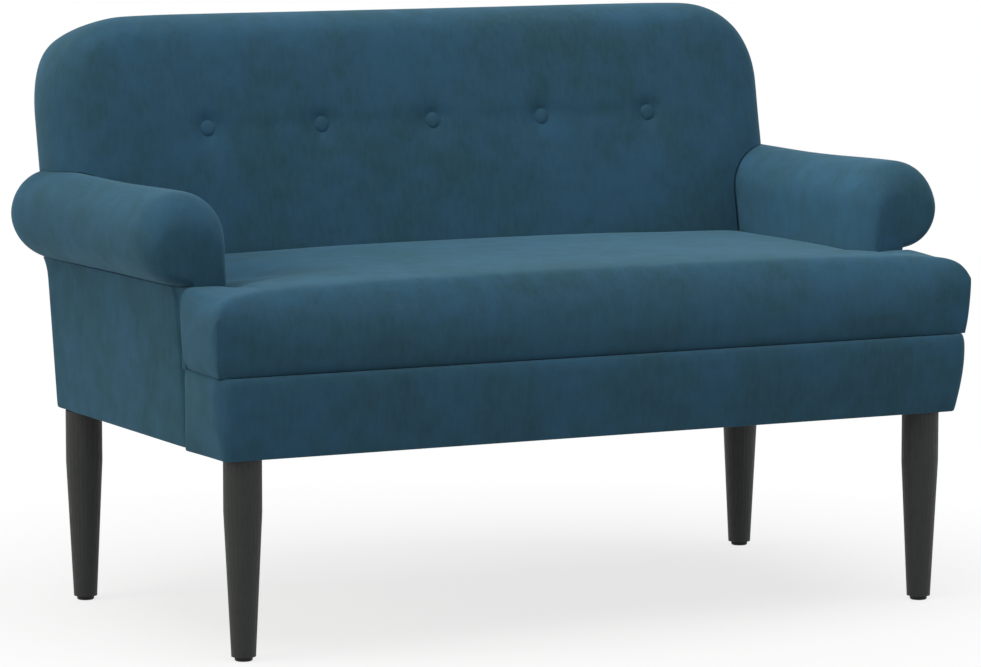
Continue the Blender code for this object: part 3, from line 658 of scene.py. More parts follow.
def grid(columns: Sequence[float], rows: Sequence[float], keep: Callable[[float, float], bool],
         place: Callable[[float, float], Vector]) -> bmesh.types.BMesh:
    """Build a sheet of quads over part of a grid.

    Args:
        columns: Places across.
        rows: Places along.
        keep: Whether the cell round a middle point is wanted.
        place: Where a grid point goes.

    Returns:
        The sheet.
    """
    shape = bmesh.new()
    points: dict[tuple[int, int], bmesh.types.BMVert] = {}

    def point(i: int, j: int) -> bmesh.types.BMVert:
        """Return the vertex at a grid point, made on first use.

        Args:
            i: The column.
            j: The row.

        Returns:
            The vertex.
        """
        if (i, j) not in points:
            points[i, j] = shape.verts.new(place(columns[i], rows[j]))
        return points[i, j]

    for j in range(len(rows) - 1):
        for i in range(len(columns) - 1):
            if keep((columns[i] + columns[i + 1]) / 2.0, (rows[j] + rows[j + 1]) / 2.0):
                shape.faces.new((point(i, j), point(i + 1, j), point(i + 1, j + 1), point(i, j + 1)))
    return shape


def rim_loop(shape: bmesh.types.BMesh) -> list[bmesh.types.BMVert]:
    """Return a sheet's outer vertices in order, with the sheet on the left.

    Args:
        shape: The sheet.

    Returns:
        The vertices.
    """
    start = next(edge for edge in shape.edges if edge.is_boundary).link_loops[0]
    loop = start
    found = []
    while True:
        found.append(loop.vert)
        ahead = loop.link_loop_next
        while not ahead.edge.is_boundary:
            ahead = ahead.link_loop_radial_next.link_loop_next
        loop = ahead
        if loop == start:
            return found


def wall(shape: bmesh.types.BMesh, rim: Sequence[bmesh.types.BMVert], levels: int,
         place: Callable[[Vector, int, int], Vector]) -> list[bmesh.types.BMVert]:
    """Hang rows of quads from a rim.

    Args:
        shape: The mesh to add to.
        rim: The rim's vertices in order.
        levels: How many rows.
        place: Gives a vertex from the rim's vertex, its index and the row from 1.

    Returns:
        The last row's vertices.
    """
    last = list(rim)
    for level in range(1, levels + 1):
        fresh = [shape.verts.new(place(vert.co, index, level)) for index, vert in enumerate(rim)]
        for index in range(len(rim)):
            after = (index + 1) % len(rim)
            shape.faces.new((last[after], last[index], fresh[index], fresh[after]))
        last = fresh
    return last


def join_rows(shape: bmesh.types.BMesh, first: Sequence[bmesh.types.BMVert],
              second: Sequence[bmesh.types.BMVert], closed: bool = False) -> None:
    """Fill the space between two rows of vertices with quads.

    Args:
        shape: The mesh to add to.
        first: One row, or none yet.
        second: The next row.
        closed: Whether the rows are rings.
    """
    count = len(first)
    for index in range(count if closed else count - 1):
        after = (index + 1) % count
        shape.faces.new((first[index], first[after], second[after], second[index]))


def make_object(name: str, shape: bmesh.types.BMesh) -> bpy.types.Object:
    """Turn a mesh in the making into an object with outward faces.

    Args:
        name: The object's name.
        shape: The mesh, which is freed.

    Returns:
        The object, in the scene.
    """
    bmesh.ops.recalc_face_normals(shape, faces=shape.faces)
    mesh = bpy.data.meshes.new(name)
    shape.to_mesh(mesh)
    shape.free()
    piece = bpy.data.objects.new(name, mesh)
    bpy.context.scene.collection.objects.link(piece)
    return piece


def bake_modifiers(piece: bpy.types.Object) -> None:
    """Apply every modifier of a piece to its mesh.

    Args:
        piece: The piece.
    """
    bpy.context.view_layer.update()
    graph = bpy.context.evaluated_depsgraph_get()
    mesh = bpy.data.meshes.new_from_object(piece.evaluated_get(graph), depsgraph=graph)
    old = piece.data
    piece.modifiers.clear()
    piece.data = mesh
    bpy.data.meshes.remove(old)
    mesh.name = piece.name


def subdivide(piece: bpy.types.Object) -> None:
    """Smooth a piece by one level of subdivision and apply it.

    Args:
        piece: The piece.
    """
    modifier = piece.modifiers.new("smooth", "SUBSURF")
    modifier.levels = 1
    bake_modifiers(piece)


def thicken(piece: bpy.types.Object, thickness: float) -> None:
    """Give a sheet a thickness on its inner side and apply it.

    Args:
        piece: The sheet.
        thickness: The thickness in metres.
    """
    modifier = piece.modifiers.new("thickness", "SOLIDIFY")
    modifier.thickness = thickness
    modifier.offset = -1.0
    modifier.use_even_offset = False
    bake_modifiers(piece)


def cut(piece: bpy.types.Object, cutter: bpy.types.Object) -> None:
    """Take a cutter's space out of a piece, then delete the cutter.

    Args:
        piece: The piece.
        cutter: The object whose space is taken out.
    """
    modifier = piece.modifiers.new("cut", "BOOLEAN")
    modifier.operation = "DIFFERENCE"
    modifier.solver = "EXACT"
    modifier.object = cutter
    bake_modifiers(piece)
    bpy.data.objects.remove(cutter, do_unlink=True)


def close_rim(piece: bpy.types.Object) -> None:
    """Close a piece's open rim with one face.

    Args:
        piece: The piece.
    """
    shape = bmesh.new()
    shape.from_mesh(piece.data)
    bmesh.ops.holes_fill(shape, edges=[edge for edge in shape.edges if edge.is_boundary], sides=0)
    bmesh.ops.recalc_face_normals(shape, faces=shape.faces)
    shape.to_mesh(piece.data)
    shape.free()


def smooth_faces(piece: bpy.types.Object, crease: float = 60.0) -> None:
    """Shade a piece smooth, with edges kept sharp above an angle in degrees."""
    piece.data.shade_smooth()
    piece.data.set_sharp_from_angle(angle=math.radians(crease))


def turn_out(piece: bpy.types.Object, inside: Sequence[float]) -> None:
    """Turn a sheet's faces away from a point.

    Args:
        piece: The sheet.
        inside: The point on its inner side.
    """
    inner = Vector(inside)
    away = sum(face.area * face.normal.dot(face.center - inner) for face in piece.data.polygons)
    if away < 0.0:
        piece.data.flip_normals()


def finish_panel(piece: bpy.types.Object, inside: Sequence[float], thickness: float) -> None:
    """Turn a panel's faces out, smooth it and give it its thickness.

    Args:
        piece: The panel.
        inside: A point on its inner side.
        thickness: The thickness in metres.
    """
    turn_out(piece, inside)
    subdivide(piece)
    thicken(piece, thickness)
    smooth_faces(piece)


def even_out(mesh: bpy.types.Mesh, moves: Sequence[Vector], still: Sequence[int],
             rounds: int = 14) -> list[Vector]:
    """Average each vertex's move with its neighbours', so that a swelling has no ripples.

    Args:
        mesh: The mesh that moves.
        moves: Each vertex's move.
        still: Indices of the vertices that don't move.
        rounds: How many times to average.

    Returns:
        The evened moves.
    """
    near: list[list[int]] = [[] for _ in mesh.vertices]
    for edge in mesh.edges:
        first, second = edge.vertices
        near[first].append(second)
        near[second].append(first)
    evened = list(moves)
    for _ in range(rounds):
        evened = [(move + sum((evened[other] for other in near[index]), Vector()) / len(near[index])) / 2.0
                  for index, move in enumerate(evened)]
        for index in still:
            evened[index] = Vector()
    return evened


def inflate(piece: bpy.types.Object, pinned: Iterable[int], pressure: float, cap: float,
            frames: int = 20) -> None:
    """Swell a cover by cloth simulation and keep the result in its mesh.

    Args:
        piece: The cover.
        pinned: Indices of the vertices that stay where they are.
        pressure: The stuffing's pressure.
        cap: The furthest that a vertex may move, in metres.
        frames: How many steps.
    """
    still = sorted(set(pinned))
    held = piece.vertex_groups.new(name="pinned")
    held.add(still, 1.0, "REPLACE")
    cloth = piece.modifiers.new("stuffing", "CLOTH")
    settings = cloth.settings
    settings.quality = 5
    settings.mass = 0.3
    settings.tension_stiffness = 20.0
    settings.compression_stiffness = 20.0
    settings.shear_stiffness = 8.0
    settings.bending_stiffness = 3.0
    settings.air_damping = 2.0
    settings.use_pressure = True
    settings.uniform_pressure_force = pressure
    settings.vertex_group_mass = held.name
    settings.effector_weights.gravity = 0.0
    cloth.collision_settings.use_collision = False
    cloth.point_cache.frame_start = 1
    cloth.point_cache.frame_end = frames
    scene = bpy.context.scene
    for step in range(1, frames + 1):
        scene.frame_set(step)
    graph = bpy.context.evaluated_depsgraph_get()
    settled = [vert.co.copy() for vert in piece.evaluated_get(graph).data.vertices]
    piece.modifiers.remove(cloth)
    piece.vertex_groups.clear()
    scene.frame_set(1)
    moves = [goal - vert.co for vert, goal in zip(piece.data.vertices, settled)]
    for vert, move in zip(piece.data.vertices, even_out(piece.data, moves, still)):
        far = move.length
        if far > 1e-9:
            vert.co = vert.co + move * (cap * math.tanh(far / cap) / far)


def dress(piece: bpy.types.Object, material: bpy.types.Material, slot: str, *nodes: str) -> None:
    """Give a piece its finish and its place in the frame.

    Args:
        piece: The piece.
        material: Its material.
        slot: The record's slot for that finish; not used.
        *nodes: The solids that it stands for.
    """
    piece.data.materials.clear()
    piece.data.materials.append(material)
    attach(piece, "root")
    if nodes:
        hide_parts(*nodes)
    LOG.info("%s: %d faces", piece.name, len(piece.data.polygons))


# The settee's places


@dataclass(frozen=True)
class BackPlane:
    """The raked plane at the rear: x across, y up along it and z forward from it."""

    rear: float
    base: float
    rake: float = math.radians(11.5)

    def point(self, x: float, y: float, z: float) -> Vector:
        """Return the place, in the settee's axes, of a point given in the back's own axes."""
        lean, rise = math.sin(self.rake), math.cos(self.rake)
        return Vector((x, self.rear + y * lean - z * rise, self.base + y * rise + z * lean))

    def y_at(self, height: float, depth: float) -> float:
        """Return y at a height, some depth forward of the plane."""
        return self.rear + math.tan(self.rake) * (height - self.base) - depth / math.cos(self.rake)


@dataclass(frozen=True)
class Places:
    """Lines that the upholstery shares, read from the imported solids."""

    base: float
    seam: float
    seat_front: float
    ear_side: float
    ear_back: float
    arm_inner: float
    arm_front: float
    roll_top: float
    roll_outer: float
    panel_side: float
    back_side: float
    plane: BackPlane
    kick: float = 0.009
    front_drop: float = 0.0012
    rear_drop: float = 0.0040

    @classmethod
    def from_frame(cls) -> "Places":
        """Read the lines from the nodes' boxes.

        Returns:
            The places.
        """
        seat_low, seat_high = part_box("seat_cover")
        arm_low, arm_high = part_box("arm_cover_right")
        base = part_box("dust_cover")[0].z
        outer_back = 0.0059
        return cls(
            base=base,
            seam=seat_low.z,
            seat_front=seat_low.y,
            ear_side=seat_high.x,
            ear_back=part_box("base_band")[1].y,
            arm_inner=arm_low.x,
            arm_front=arm_low.y,
            roll_top=arm_high.z,
            roll_outer=arm_high.x,
            panel_side=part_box("outer_arm_panel_right")[1].x,
            back_side=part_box("back_cover")[1].x,
            plane=BackPlane(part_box("rear_rail")[1].y + outer_back, base),
        )

    def rear_at(self, height: float) -> float:
        """Return the rear line of the base at a height, which rakes less than the back above it."""
        below = clamp(1.0 - (height - self.base) / (self.roll_z - self.base))
        return self.plane.y_at(height, 0.0) + self.kick * below

    def drop_at(self, height: float, share: float) -> float:
        """Return how far an arm's roll has settled, most at its rear end.

        Args:
            height: The height before settling.
            share: The place along the arm, from 0 at the rear to 1 at the front.

        Returns:
            The drop, none at the seam.
        """
        low = self.roll_z - self.roll_radius
        rise = clamp((height - self.seam) / (low - self.seam))
        return (self.rear_drop + (self.front_drop - self.rear_drop) * share) * rise

    @property
    def roll_radius(self) -> float:
        """Return the radius of an arm's roll."""
        return (self.roll_outer - self.arm_inner) / 2.0

    @property
    def roll_x(self) -> float:
        """Return how far out the roll's middle is."""
        return self.arm_inner + self.roll_radius

    @property
    def roll_z(self) -> float:
        """Return the height of the roll's middle."""
        return self.roll_top - self.roll_radius


# Upholstery


@dataclass
class Back:
    """The slab back with round shoulders and one row of covered buttons."""

    places: Places
    height: float = 0.4937
    half_width: float = 0.5176
    bottom: float = 0.104
    edge_depth: float = 0.1096
    crown: float = 0.022
    crown_power: int = 8
    top_ease: float = 0.5
    corner: float = 0.107
    droop: float = 0.006
    edge: float = 0.032
    edge_fall: float = 0.038
    edge_steps: int = 5
    step: float = 0.014
    low_step: float = 0.015
    tuft: float = 0.0054
    tuft_reach: float = 0.013
    tuft_tall: float = 0.85
    hollow: float = 0.0010
    hollow_reach: float = 0.036
    spacing: float = 0.1603
    button_height: float = 0.3392
    button_radius: float = 0.0117
    button_rise: float = 0.0046
    button_steps: int = 28
    button_foot: float = 0.9
    gather: float = 0.012
    gathers: float = 9.0
    gather_top: float = 0.4
    rear_depth: float = 0.0065
    rear_inset: float = 0.0095
    inset_power: float = 2.5
    rear_square: float = 0.0135
    square_gain: float = 2.6
    arm_ease: float = 0.0007
    arm_gap: float = 0.0022
    arm_clear: float = 0.0003
    levels: int = 6
    held_edge: float = 0.001
    pressure: float = 3.5
    cap: float = 0.0014
    crease: float = 48.0

    def buttons(self) -> list[float]:
        """Return where the buttons are across."""
        return [self.spacing * step for step in (-2, -1, 0, 1, 2)]

    def depth_at(self, x: float, y: float) -> float:
        """Return how far forward the padding stands, before tufts and round edges.

        Args:
            x: Across.
            y: Up along the rake.

        Returns:
            The depth from the rear plane.
        """
        half = (self.height - self.bottom) / 2.0
        middle = self.bottom + half
        across = 1.0 - (min(abs(x) / self.half_width, 1.0)) ** self.crown_power
        up = 1.0 - self.top_ease * (max(y - middle, 0.0) / half) ** self.crown_power
        return self.edge_depth + self.crown * across * up

    def surface(self, x: float, y: float) -> Vector:
        """Return a point of the front in the back's own axes.

        Args:
            x: Across on the square grid.
            y: Up on the square grid.

        Returns:
            The point, with the round corners, edges and tufts.
        """
        side = self.half_width
        flat_x, flat_y = pull_round((x, y), (math.copysign(side, x), self.height), self.corner, 1)
        gap = rounded(side - abs(flat_x), self.height - flat_y, self.corner)
        z = self.depth_at(flat_x, flat_y) - fall(gap, self.edge, self.edge_fall)
        for button in self.buttons():
            far = math.hypot(flat_x - button, (flat_y - self.button_height) * self.tuft_tall)
            z -= self.tuft * math.exp(-(far / self.tuft_reach) ** 2)
            z -= self.hollow * math.exp(-(far / self.hollow_reach) ** 2)
        rise = (flat_y - self.bottom) / (self.height - self.bottom)
        return Vector((flat_x, flat_y - self.droop * rise * (abs(flat_x) / side) ** self.crown_power, z))

    def columns(self) -> list[float]:
        """Return grid places across, dense at buttons and edges.

        Returns:
            The places, rising.
        """
        places = {round(button + distance, 5) for button in self.buttons() for distance in NEAR_BUTTON}
        places |= {round(button + self.spacing / 2.0, 5) for button in self.buttons()}
        outer = self.spacing * 2.5
        places |= {-outer}
        rest = stations(outer, self.half_width, [0.0], eased(self.edge, self.edge_steps), self.step)[1:]
        return sorted(places | set(rest) | {-place for place in rest})

    def rows(self) -> list[float]:
        """Return grid places up the back, dense at the buttons and the top edge.

        Returns:
            The places, rising.
        """
        middle = sorted({self.button_height + distance for distance in NEAR_BUTTON})
        below = stations(self.bottom, middle[0], [0.0], [0.0], self.low_step)[:-1]
        top_edge = eased(self.edge, self.edge_steps)
        return below + middle + stations(middle[-1], self.height, [0.0], top_edge, self.step)[1:]

    def build(self) -> bpy.types.Object:
        """Build the padded slab, swollen and cut to the arms.

        Returns:
            The piece.
        """
        plane = self.places.plane
        shape = grid(self.columns(), self.rows(), lambda x, y: True, self.surface)
        rim = rim_loop(shape)
        middle = Vector((0.0, (self.height + self.bottom) / 2.0))

        def behind(start: Vector, index: int, level: int) -> Vector:
            """Return a point of the side behind a rim point.

            Args:
                start: The rim point.
                index: Its place in the rim, which makes no difference here.
                level: The row from 1.

            Returns:
                The point.
            """
            share = level / self.levels
            squared = self.rear_square * share * self.corner_share(start)
            inset = self.rear_inset * share ** self.inset_power - squared
            outward = (Vector((start.x, start.y)) - middle).normalized()
            return Vector((start.x - outward.x * inset, start.y - outward.y * inset,
                           start.z + (self.rear_depth - start.z) * share))

        held = wall(shape, rim, self.levels, behind)
        held += [vert for vert in shape.verts if vert.co.y < self.bottom + self.held_edge]
        for button in self.buttons():
            held += [vert for vert in shape.verts
                     if math.hypot(vert.co.x - button, vert.co.y - self.button_height) < self.button_radius]
        shape.verts.index_update()
        pinned = {vert.index for vert in held}
        for vert in shape.verts:
            vert.co = plane.point(*vert.co)
        piece = make_object("back_cushion", shape)
        inflate(piece, pinned, self.pressure, self.cap)
        subdivide(piece)
        close_rim(piece)
        for side in Side:
            cut(piece, self.arm_space(side))
            cut(piece, Arm(self.places, side).space(self.arm_ease, self.arm_gap))
        smooth_faces(piece, self.crease)
        return piece

    def corner_share(self, spot: Vector) -> float:
        """Return how far a rim point is into a top corner: 0 at its ends, most in its upper half.

        Args:
            spot: The rim point.

        Returns:
            The share.
        """
        across = max((abs(spot.x) - self.half_width + self.corner) / self.corner, 0.0)
        up = max((spot.y - self.height + self.corner) / self.corner, 0.0)
        return self.square_gain * across * up * up

    def arm_space(self, side: Side) -> bpy.types.Object:
        """Build the space beyond an arm's inner face, below its roll's middle, that the back leaves free.

        Args:
            side: Which arm.

        Returns:
            The cutter.
        """
        places = self.places
        high = places.roll_z - places.rear_drop
        below, beyond, front, depth = 0.02, 0.06, -0.05, 0.5
        inner = places.arm_inner - self.arm_ease - self.arm_gap - self.arm_clear
        outer, low = places.back_side + beyond, places.base - below
        outline = [(inner, low), (inner, high), (outer, high), (outer, low)]
        shape = bmesh.new()
        face = shape.faces.new([shape.verts.new((x * side.value, front, z)) for x, z in outline])
        extruded = bmesh.ops.extrude_face_region(shape, geom=[face])["geom"]
        moved = [item for item in extruded if isinstance(item, bmesh.types.BMVert)]
        bmesh.ops.translate(shape, verts=moved, vec=(0.0, depth, 0.0))
        return make_object(f"arm_space_{side.word}", shape)

    def build_buttons(self) -> list[bpy.types.Object]:
        """Build the covered buttons, each sunk in its tuft.

        Returns:
            The buttons from left to right.
        """
        plane = self.places.plane
        made = []
        for number, across in enumerate(self.buttons(), start=1):
            seat = self.depth_at(across, self.button_height) - self.tuft - self.hollow
            turned = plane.point(0.0, 0.0, 1.0) - plane.point(0.0, 0.0, 0.0)
            turn = UP.rotation_difference(turned).to_matrix().to_4x4()
            shape = self.button_shape(number)
            place = Matrix.Translation(plane.point(across, self.button_height, seat)) @ turn
            bmesh.ops.transform(shape, matrix=place, verts=shape.verts)
            button = make_object(f"covered_button_{number}", shape)
            subdivide(button)
            smooth_faces(button)
            made.append(button)
        return made

    def button_shape(self, number: int) -> bmesh.types.BMesh:
        """Build one button, facing up: a low dome whose cloth is gathered under its edge.

        Args:
            number: The button's place in the row, which turns its gathers.

        Returns:
            The mesh.
        """
        rise, steps = self.button_rise, self.button_steps
        profile = ((0.30, 0.985), (0.58, 0.90), (0.80, 0.72), (0.94, 0.45), (1.0, 0.12), (0.97, -0.20),
                   (0.86, -0.52), (0.62, -0.80))
        shape = bmesh.new()
        rings = []
        for share, lift in profile:
            ring = []
            for step in range(steps):
                angle = math.tau * step / steps
                folds = self.gather * math.sin(self.gathers * angle + number)
                out = self.button_radius * share * (1.0 + folds * max(0.0, self.gather_top - lift))
                ring.append(shape.verts.new((out * math.cos(angle), out * math.sin(angle), rise * lift)))
            rings.append(ring)
        top = shape.verts.new((0.0, 0.0, rise))
        foot = shape.verts.new((0.0, 0.0, -rise * self.button_foot))
        for step in range(steps):
            after = (step + 1) % steps
            shape.faces.new((rings[0][step], rings[0][after], top))
            shape.faces.new((rings[-1][after], rings[-1][step], foot))
            for low, high in zip(rings[1:], rings):
                shape.faces.new((low[step], low[after], high[after], high[step]))
        return shape

    def dress(self, finishes: Finishes) -> None:
        """Build the back and its buttons and give them their velvet.

        Args:
            finishes: The settee's materials.
        """
        cushion = self.build()
        dress(cushion, finishes.velvet, "velvet", "back_cover", "back_foam")
        for number, button in enumerate(self.build_buttons(), start=1):
            dress(button, finishes.velvet, "velvet", f"back_button_{number}")


@dataclass
class Seat:
    """The T-shaped seat with an ear in front of each arm."""

    places: Places
    back: Back
    thickness: float = 0.093
    crown: float = 0.0105
    crown_across: float = 2.5
    crown_along: float = 16.0
    front_edge: float = 0.042
    front_fall: float = 0.060
    front_fullness: float = 2.1
    front_steps: int = 9
    side_edge: float = 0.034
    side_fall: float = 0.040
    side_fullness: float = 2.4
    side_tight: float = 2.0
    side_steps: int = 8
    tight_edge: float = 0.016
    tight_fall: float = 0.003
    tight_steps: int = 4
    ear_fall: float = 0.0015
    ear_share: float = 0.62
    ear_lift: float = 0.0050
    ear_slope: float = 0.0060
    pocket: float = 0.012
    pocket_reach: float = 0.050
    pocket_in: float = 0.045
    pocket_behind: float = 0.100
    front_corner: float = 0.012
    ear_corner: float = 0.008
    stand_out: float = 0.0035
    stand_forward: float = 0.0035
    flare: float = 0.0075
    lean_in: float = 0.006
    lean_power: float = 1.5
    tuck: float = 0.0064
    tuck_power: int = 6
    shut_share: float = 0.25
    near_ear: float = 0.001
    near_rear: float = 0.004
    ear_gap: float = 0.0004
    arm_gap: float = 0.0006
    back_gap: float = 0.0035
    step: float = 0.0165
    levels: int = 6
    pressure: float = 3.0
    cap: float = 0.005

    @property
    def ear_side(self) -> float:
        """Return how far out an ear's padding stands."""
        return self.places.ear_side + self.stand_out

    @property
    def front(self) -> float:
        """Return the line of the seat's padded front."""
        return self.places.seat_front - self.stand_forward

    @property
    def notch(self) -> float:
        """Return how far out the seat reaches between the arms."""
        return self.places.arm_inner - self.arm_gap

    @property
    def ear_back(self) -> float:
        """Return the line of an ear's rear face."""
        return self.places.ear_back - self.ear_gap

    def side_at(self, y: float) -> float:
        """Return how far out an ear's side stands at a place along, drawn in towards the arm."""
        share = clamp((self.ear_back - y) / (self.ear_back - self.front))
        return self.ear_side - self.flare * (1.0 - share) ** 2

    def rear_at(self, x: float) -> float:
        """Return the seat's rear line at a place across."""
        depth = self.back.depth_at(x, self.back.bottom) + self.back_gap
        return self.places.plane.y_at(self.places.seam + self.thickness, depth)

    def top_at(self, x: float, y: float) -> float:
        """Return the height of the seat's top.

        Args:
            x: Across.
            y: Along.

        Returns:
            The height, with the crown, the edges' fall and the hollows.
        """
        rear = self.rear_at(0.0)
        deep = clamp((rear - y) / (rear - self.front))
        across = 1.0 - (min(abs(x) / self.ear_side, 1.0)) ** self.crown_across
        height = self.places.seam + self.thickness + self.crown * across * (1.0 - deep ** self.crown_along)
        return height - self.edges_at(x, y) - self.sunk_at(x, y)

    def edges_at(self, x: float, y: float) -> float:
        """Return how far the front, side and shut edges let the top fall.

        Args:
            x: Across.
            y: Along.

        Returns:
            The fall of the three edges together.
        """
        near_arm = 1.0 - ramp(self.ear_back - y, 0.0, self.ear_back - self.front)
        side_gap = (self.ear_side - abs(x)) * (1.0 + (self.side_tight - 1.0) * near_arm ** 2)
        on_ear = ramp(abs(x) - self.notch, -self.side_edge, 2.0 * self.side_edge)
        tightness = 1.0 - (1.0 - self.ear_share) * on_ear
        front = fall(y - self.front, self.front_edge * tightness, self.front_fall * tightness,
                     self.front_fullness)
        side = fall(side_gap, self.side_edge, self.side_fall, self.side_fullness)
        inside = ramp(self.notch - abs(x), -self.tight_edge, self.tight_edge)
        shut_gap = max(self.ear_back - y, min(self.notch - abs(x), self.rear_at(x) - y))
        shut = fall(shut_gap, self.tight_edge, self.ear_fall + (self.tight_fall - self.ear_fall) * inside)
        return (front ** 3 + side ** 3 + shut ** 3) ** (1.0 / 3.0)

    def sunk_at(self, x: float, y: float) -> float:
        """Return how far the top sinks in the pocket beside the left arm, less the rise of the ears.

        Args:
            x: Across.
            y: Along.

        Returns:
            The depth.
        """
        corner = math.hypot(x + self.notch - self.pocket_in, y - self.ear_back - self.pocket_behind)
        sunk = self.pocket * math.exp(-(corner / self.pocket_reach) ** 2)
        forward = max(self.ear_back - y, 0.0) / (self.ear_back - self.front)
        lift = self.ear_lift - self.ear_slope * forward
        return sunk - lift * ramp(abs(x) - self.notch, 0.0, self.side_edge)

    def surface(self, x: float, y: float) -> Vector:
        """Return a point of the top from its place on the square grid.

        Args:
            x: Across on the square grid.
            y: Along on the square grid.

        Returns:
            The point.
        """
        rear, end = self.rear_at(0.0), self.rear_at(x)
        behind = self.ear_back
        if y > behind:
            y = behind + (y - behind) * (end - behind) / (rear - behind)
        ear = math.copysign(self.ear_side, x)
        spot = pull_round((x, y), (ear, self.front), self.front_corner, -1)
        if abs(x) > self.notch:
            spot = pull_round(spot, (ear, behind), self.ear_corner, 1)
        flat_x, flat_y = spot
        height = self.top_at(flat_x, flat_y)
        if abs(flat_x) > self.notch:
            drawn = (self.side_at(flat_y) - self.notch) / (self.ear_side - self.notch)
            flat_x = math.copysign(self.notch + (abs(flat_x) - self.notch) * drawn, x)
        return Vector((flat_x, flat_y, height))

    def build(self) -> bpy.types.Object:
        """Build the padded seat down to its seam.

        Returns:
            The piece.
        """
        places = self.places
        ear_back = self.ear_back
        tight = eased(self.tight_edge, self.tight_steps)
        side = eased(self.side_edge, self.side_steps)
        inner = stations(0.0, self.notch, [0.0], tight, self.step)
        outer = stations(self.notch, self.ear_side, SEAM_STEP, side, self.step)[1:]
        front = stations(self.front, ear_back, eased(self.front_edge, self.front_steps), tight, self.step)
        behind = stations(ear_back, self.rear_at(0.0), SEAM_STEP, tight, self.step)[1:]

        def keep(x: float, y: float) -> bool:
            """Say whether a cell lies on the T."""
            return y < ear_back or abs(x) < self.notch

        shape = grid(mirrored(inner + outer), front + behind, keep, self.surface)
        rim = rim_loop(shape)
        count = len(rim)
        outward = []
        for index in range(count):
            run = rim[(index + 1) % count].co - rim[index - 1].co
            outward.append(Vector((run.y, -run.x, 0.0)).normalized())
        lean = math.tan(places.plane.rake)

        def below(start: Vector, index: int, level: int) -> Vector:
            """Return a point of the side under a rim point.

            Args:
                start: The rim point.
                index: Its place in the rim.
                level: The row from 1.

            Returns:
                The point.
            """
            share = level / self.levels
            height = start.z + (places.seam - start.z) * share
            inset = self.lean_in * share ** self.lean_power + self.tuck * share ** self.tuck_power
            if start.y > ear_back - self.near_ear:
                inset *= self.shut_share
            point = start - outward[index] * inset
            if start.y > self.rear_at(start.x) - self.near_rear:
                point.y += lean * (height - start.z)
            return Vector((point.x, point.y, height))

        last = wall(shape, rim, self.levels, below)
        shape.verts.index_update()
        pinned = [vert.index for vert in last]
        piece = make_object("seat_cushion", shape)
        inflate(piece, pinned, self.pressure, self.cap)
        subdivide(piece)
        close_rim(piece)
        smooth_faces(piece)
        return piece

    def dress(self, finishes: Finishes) -> None:
        """Build the seat and give it its velvet.

        Args:
            finishes: The settee's materials.
        """
        cushion = self.build()
        dress(cushion, finishes.velvet, "velvet", "seat_cover", "seat_foam")


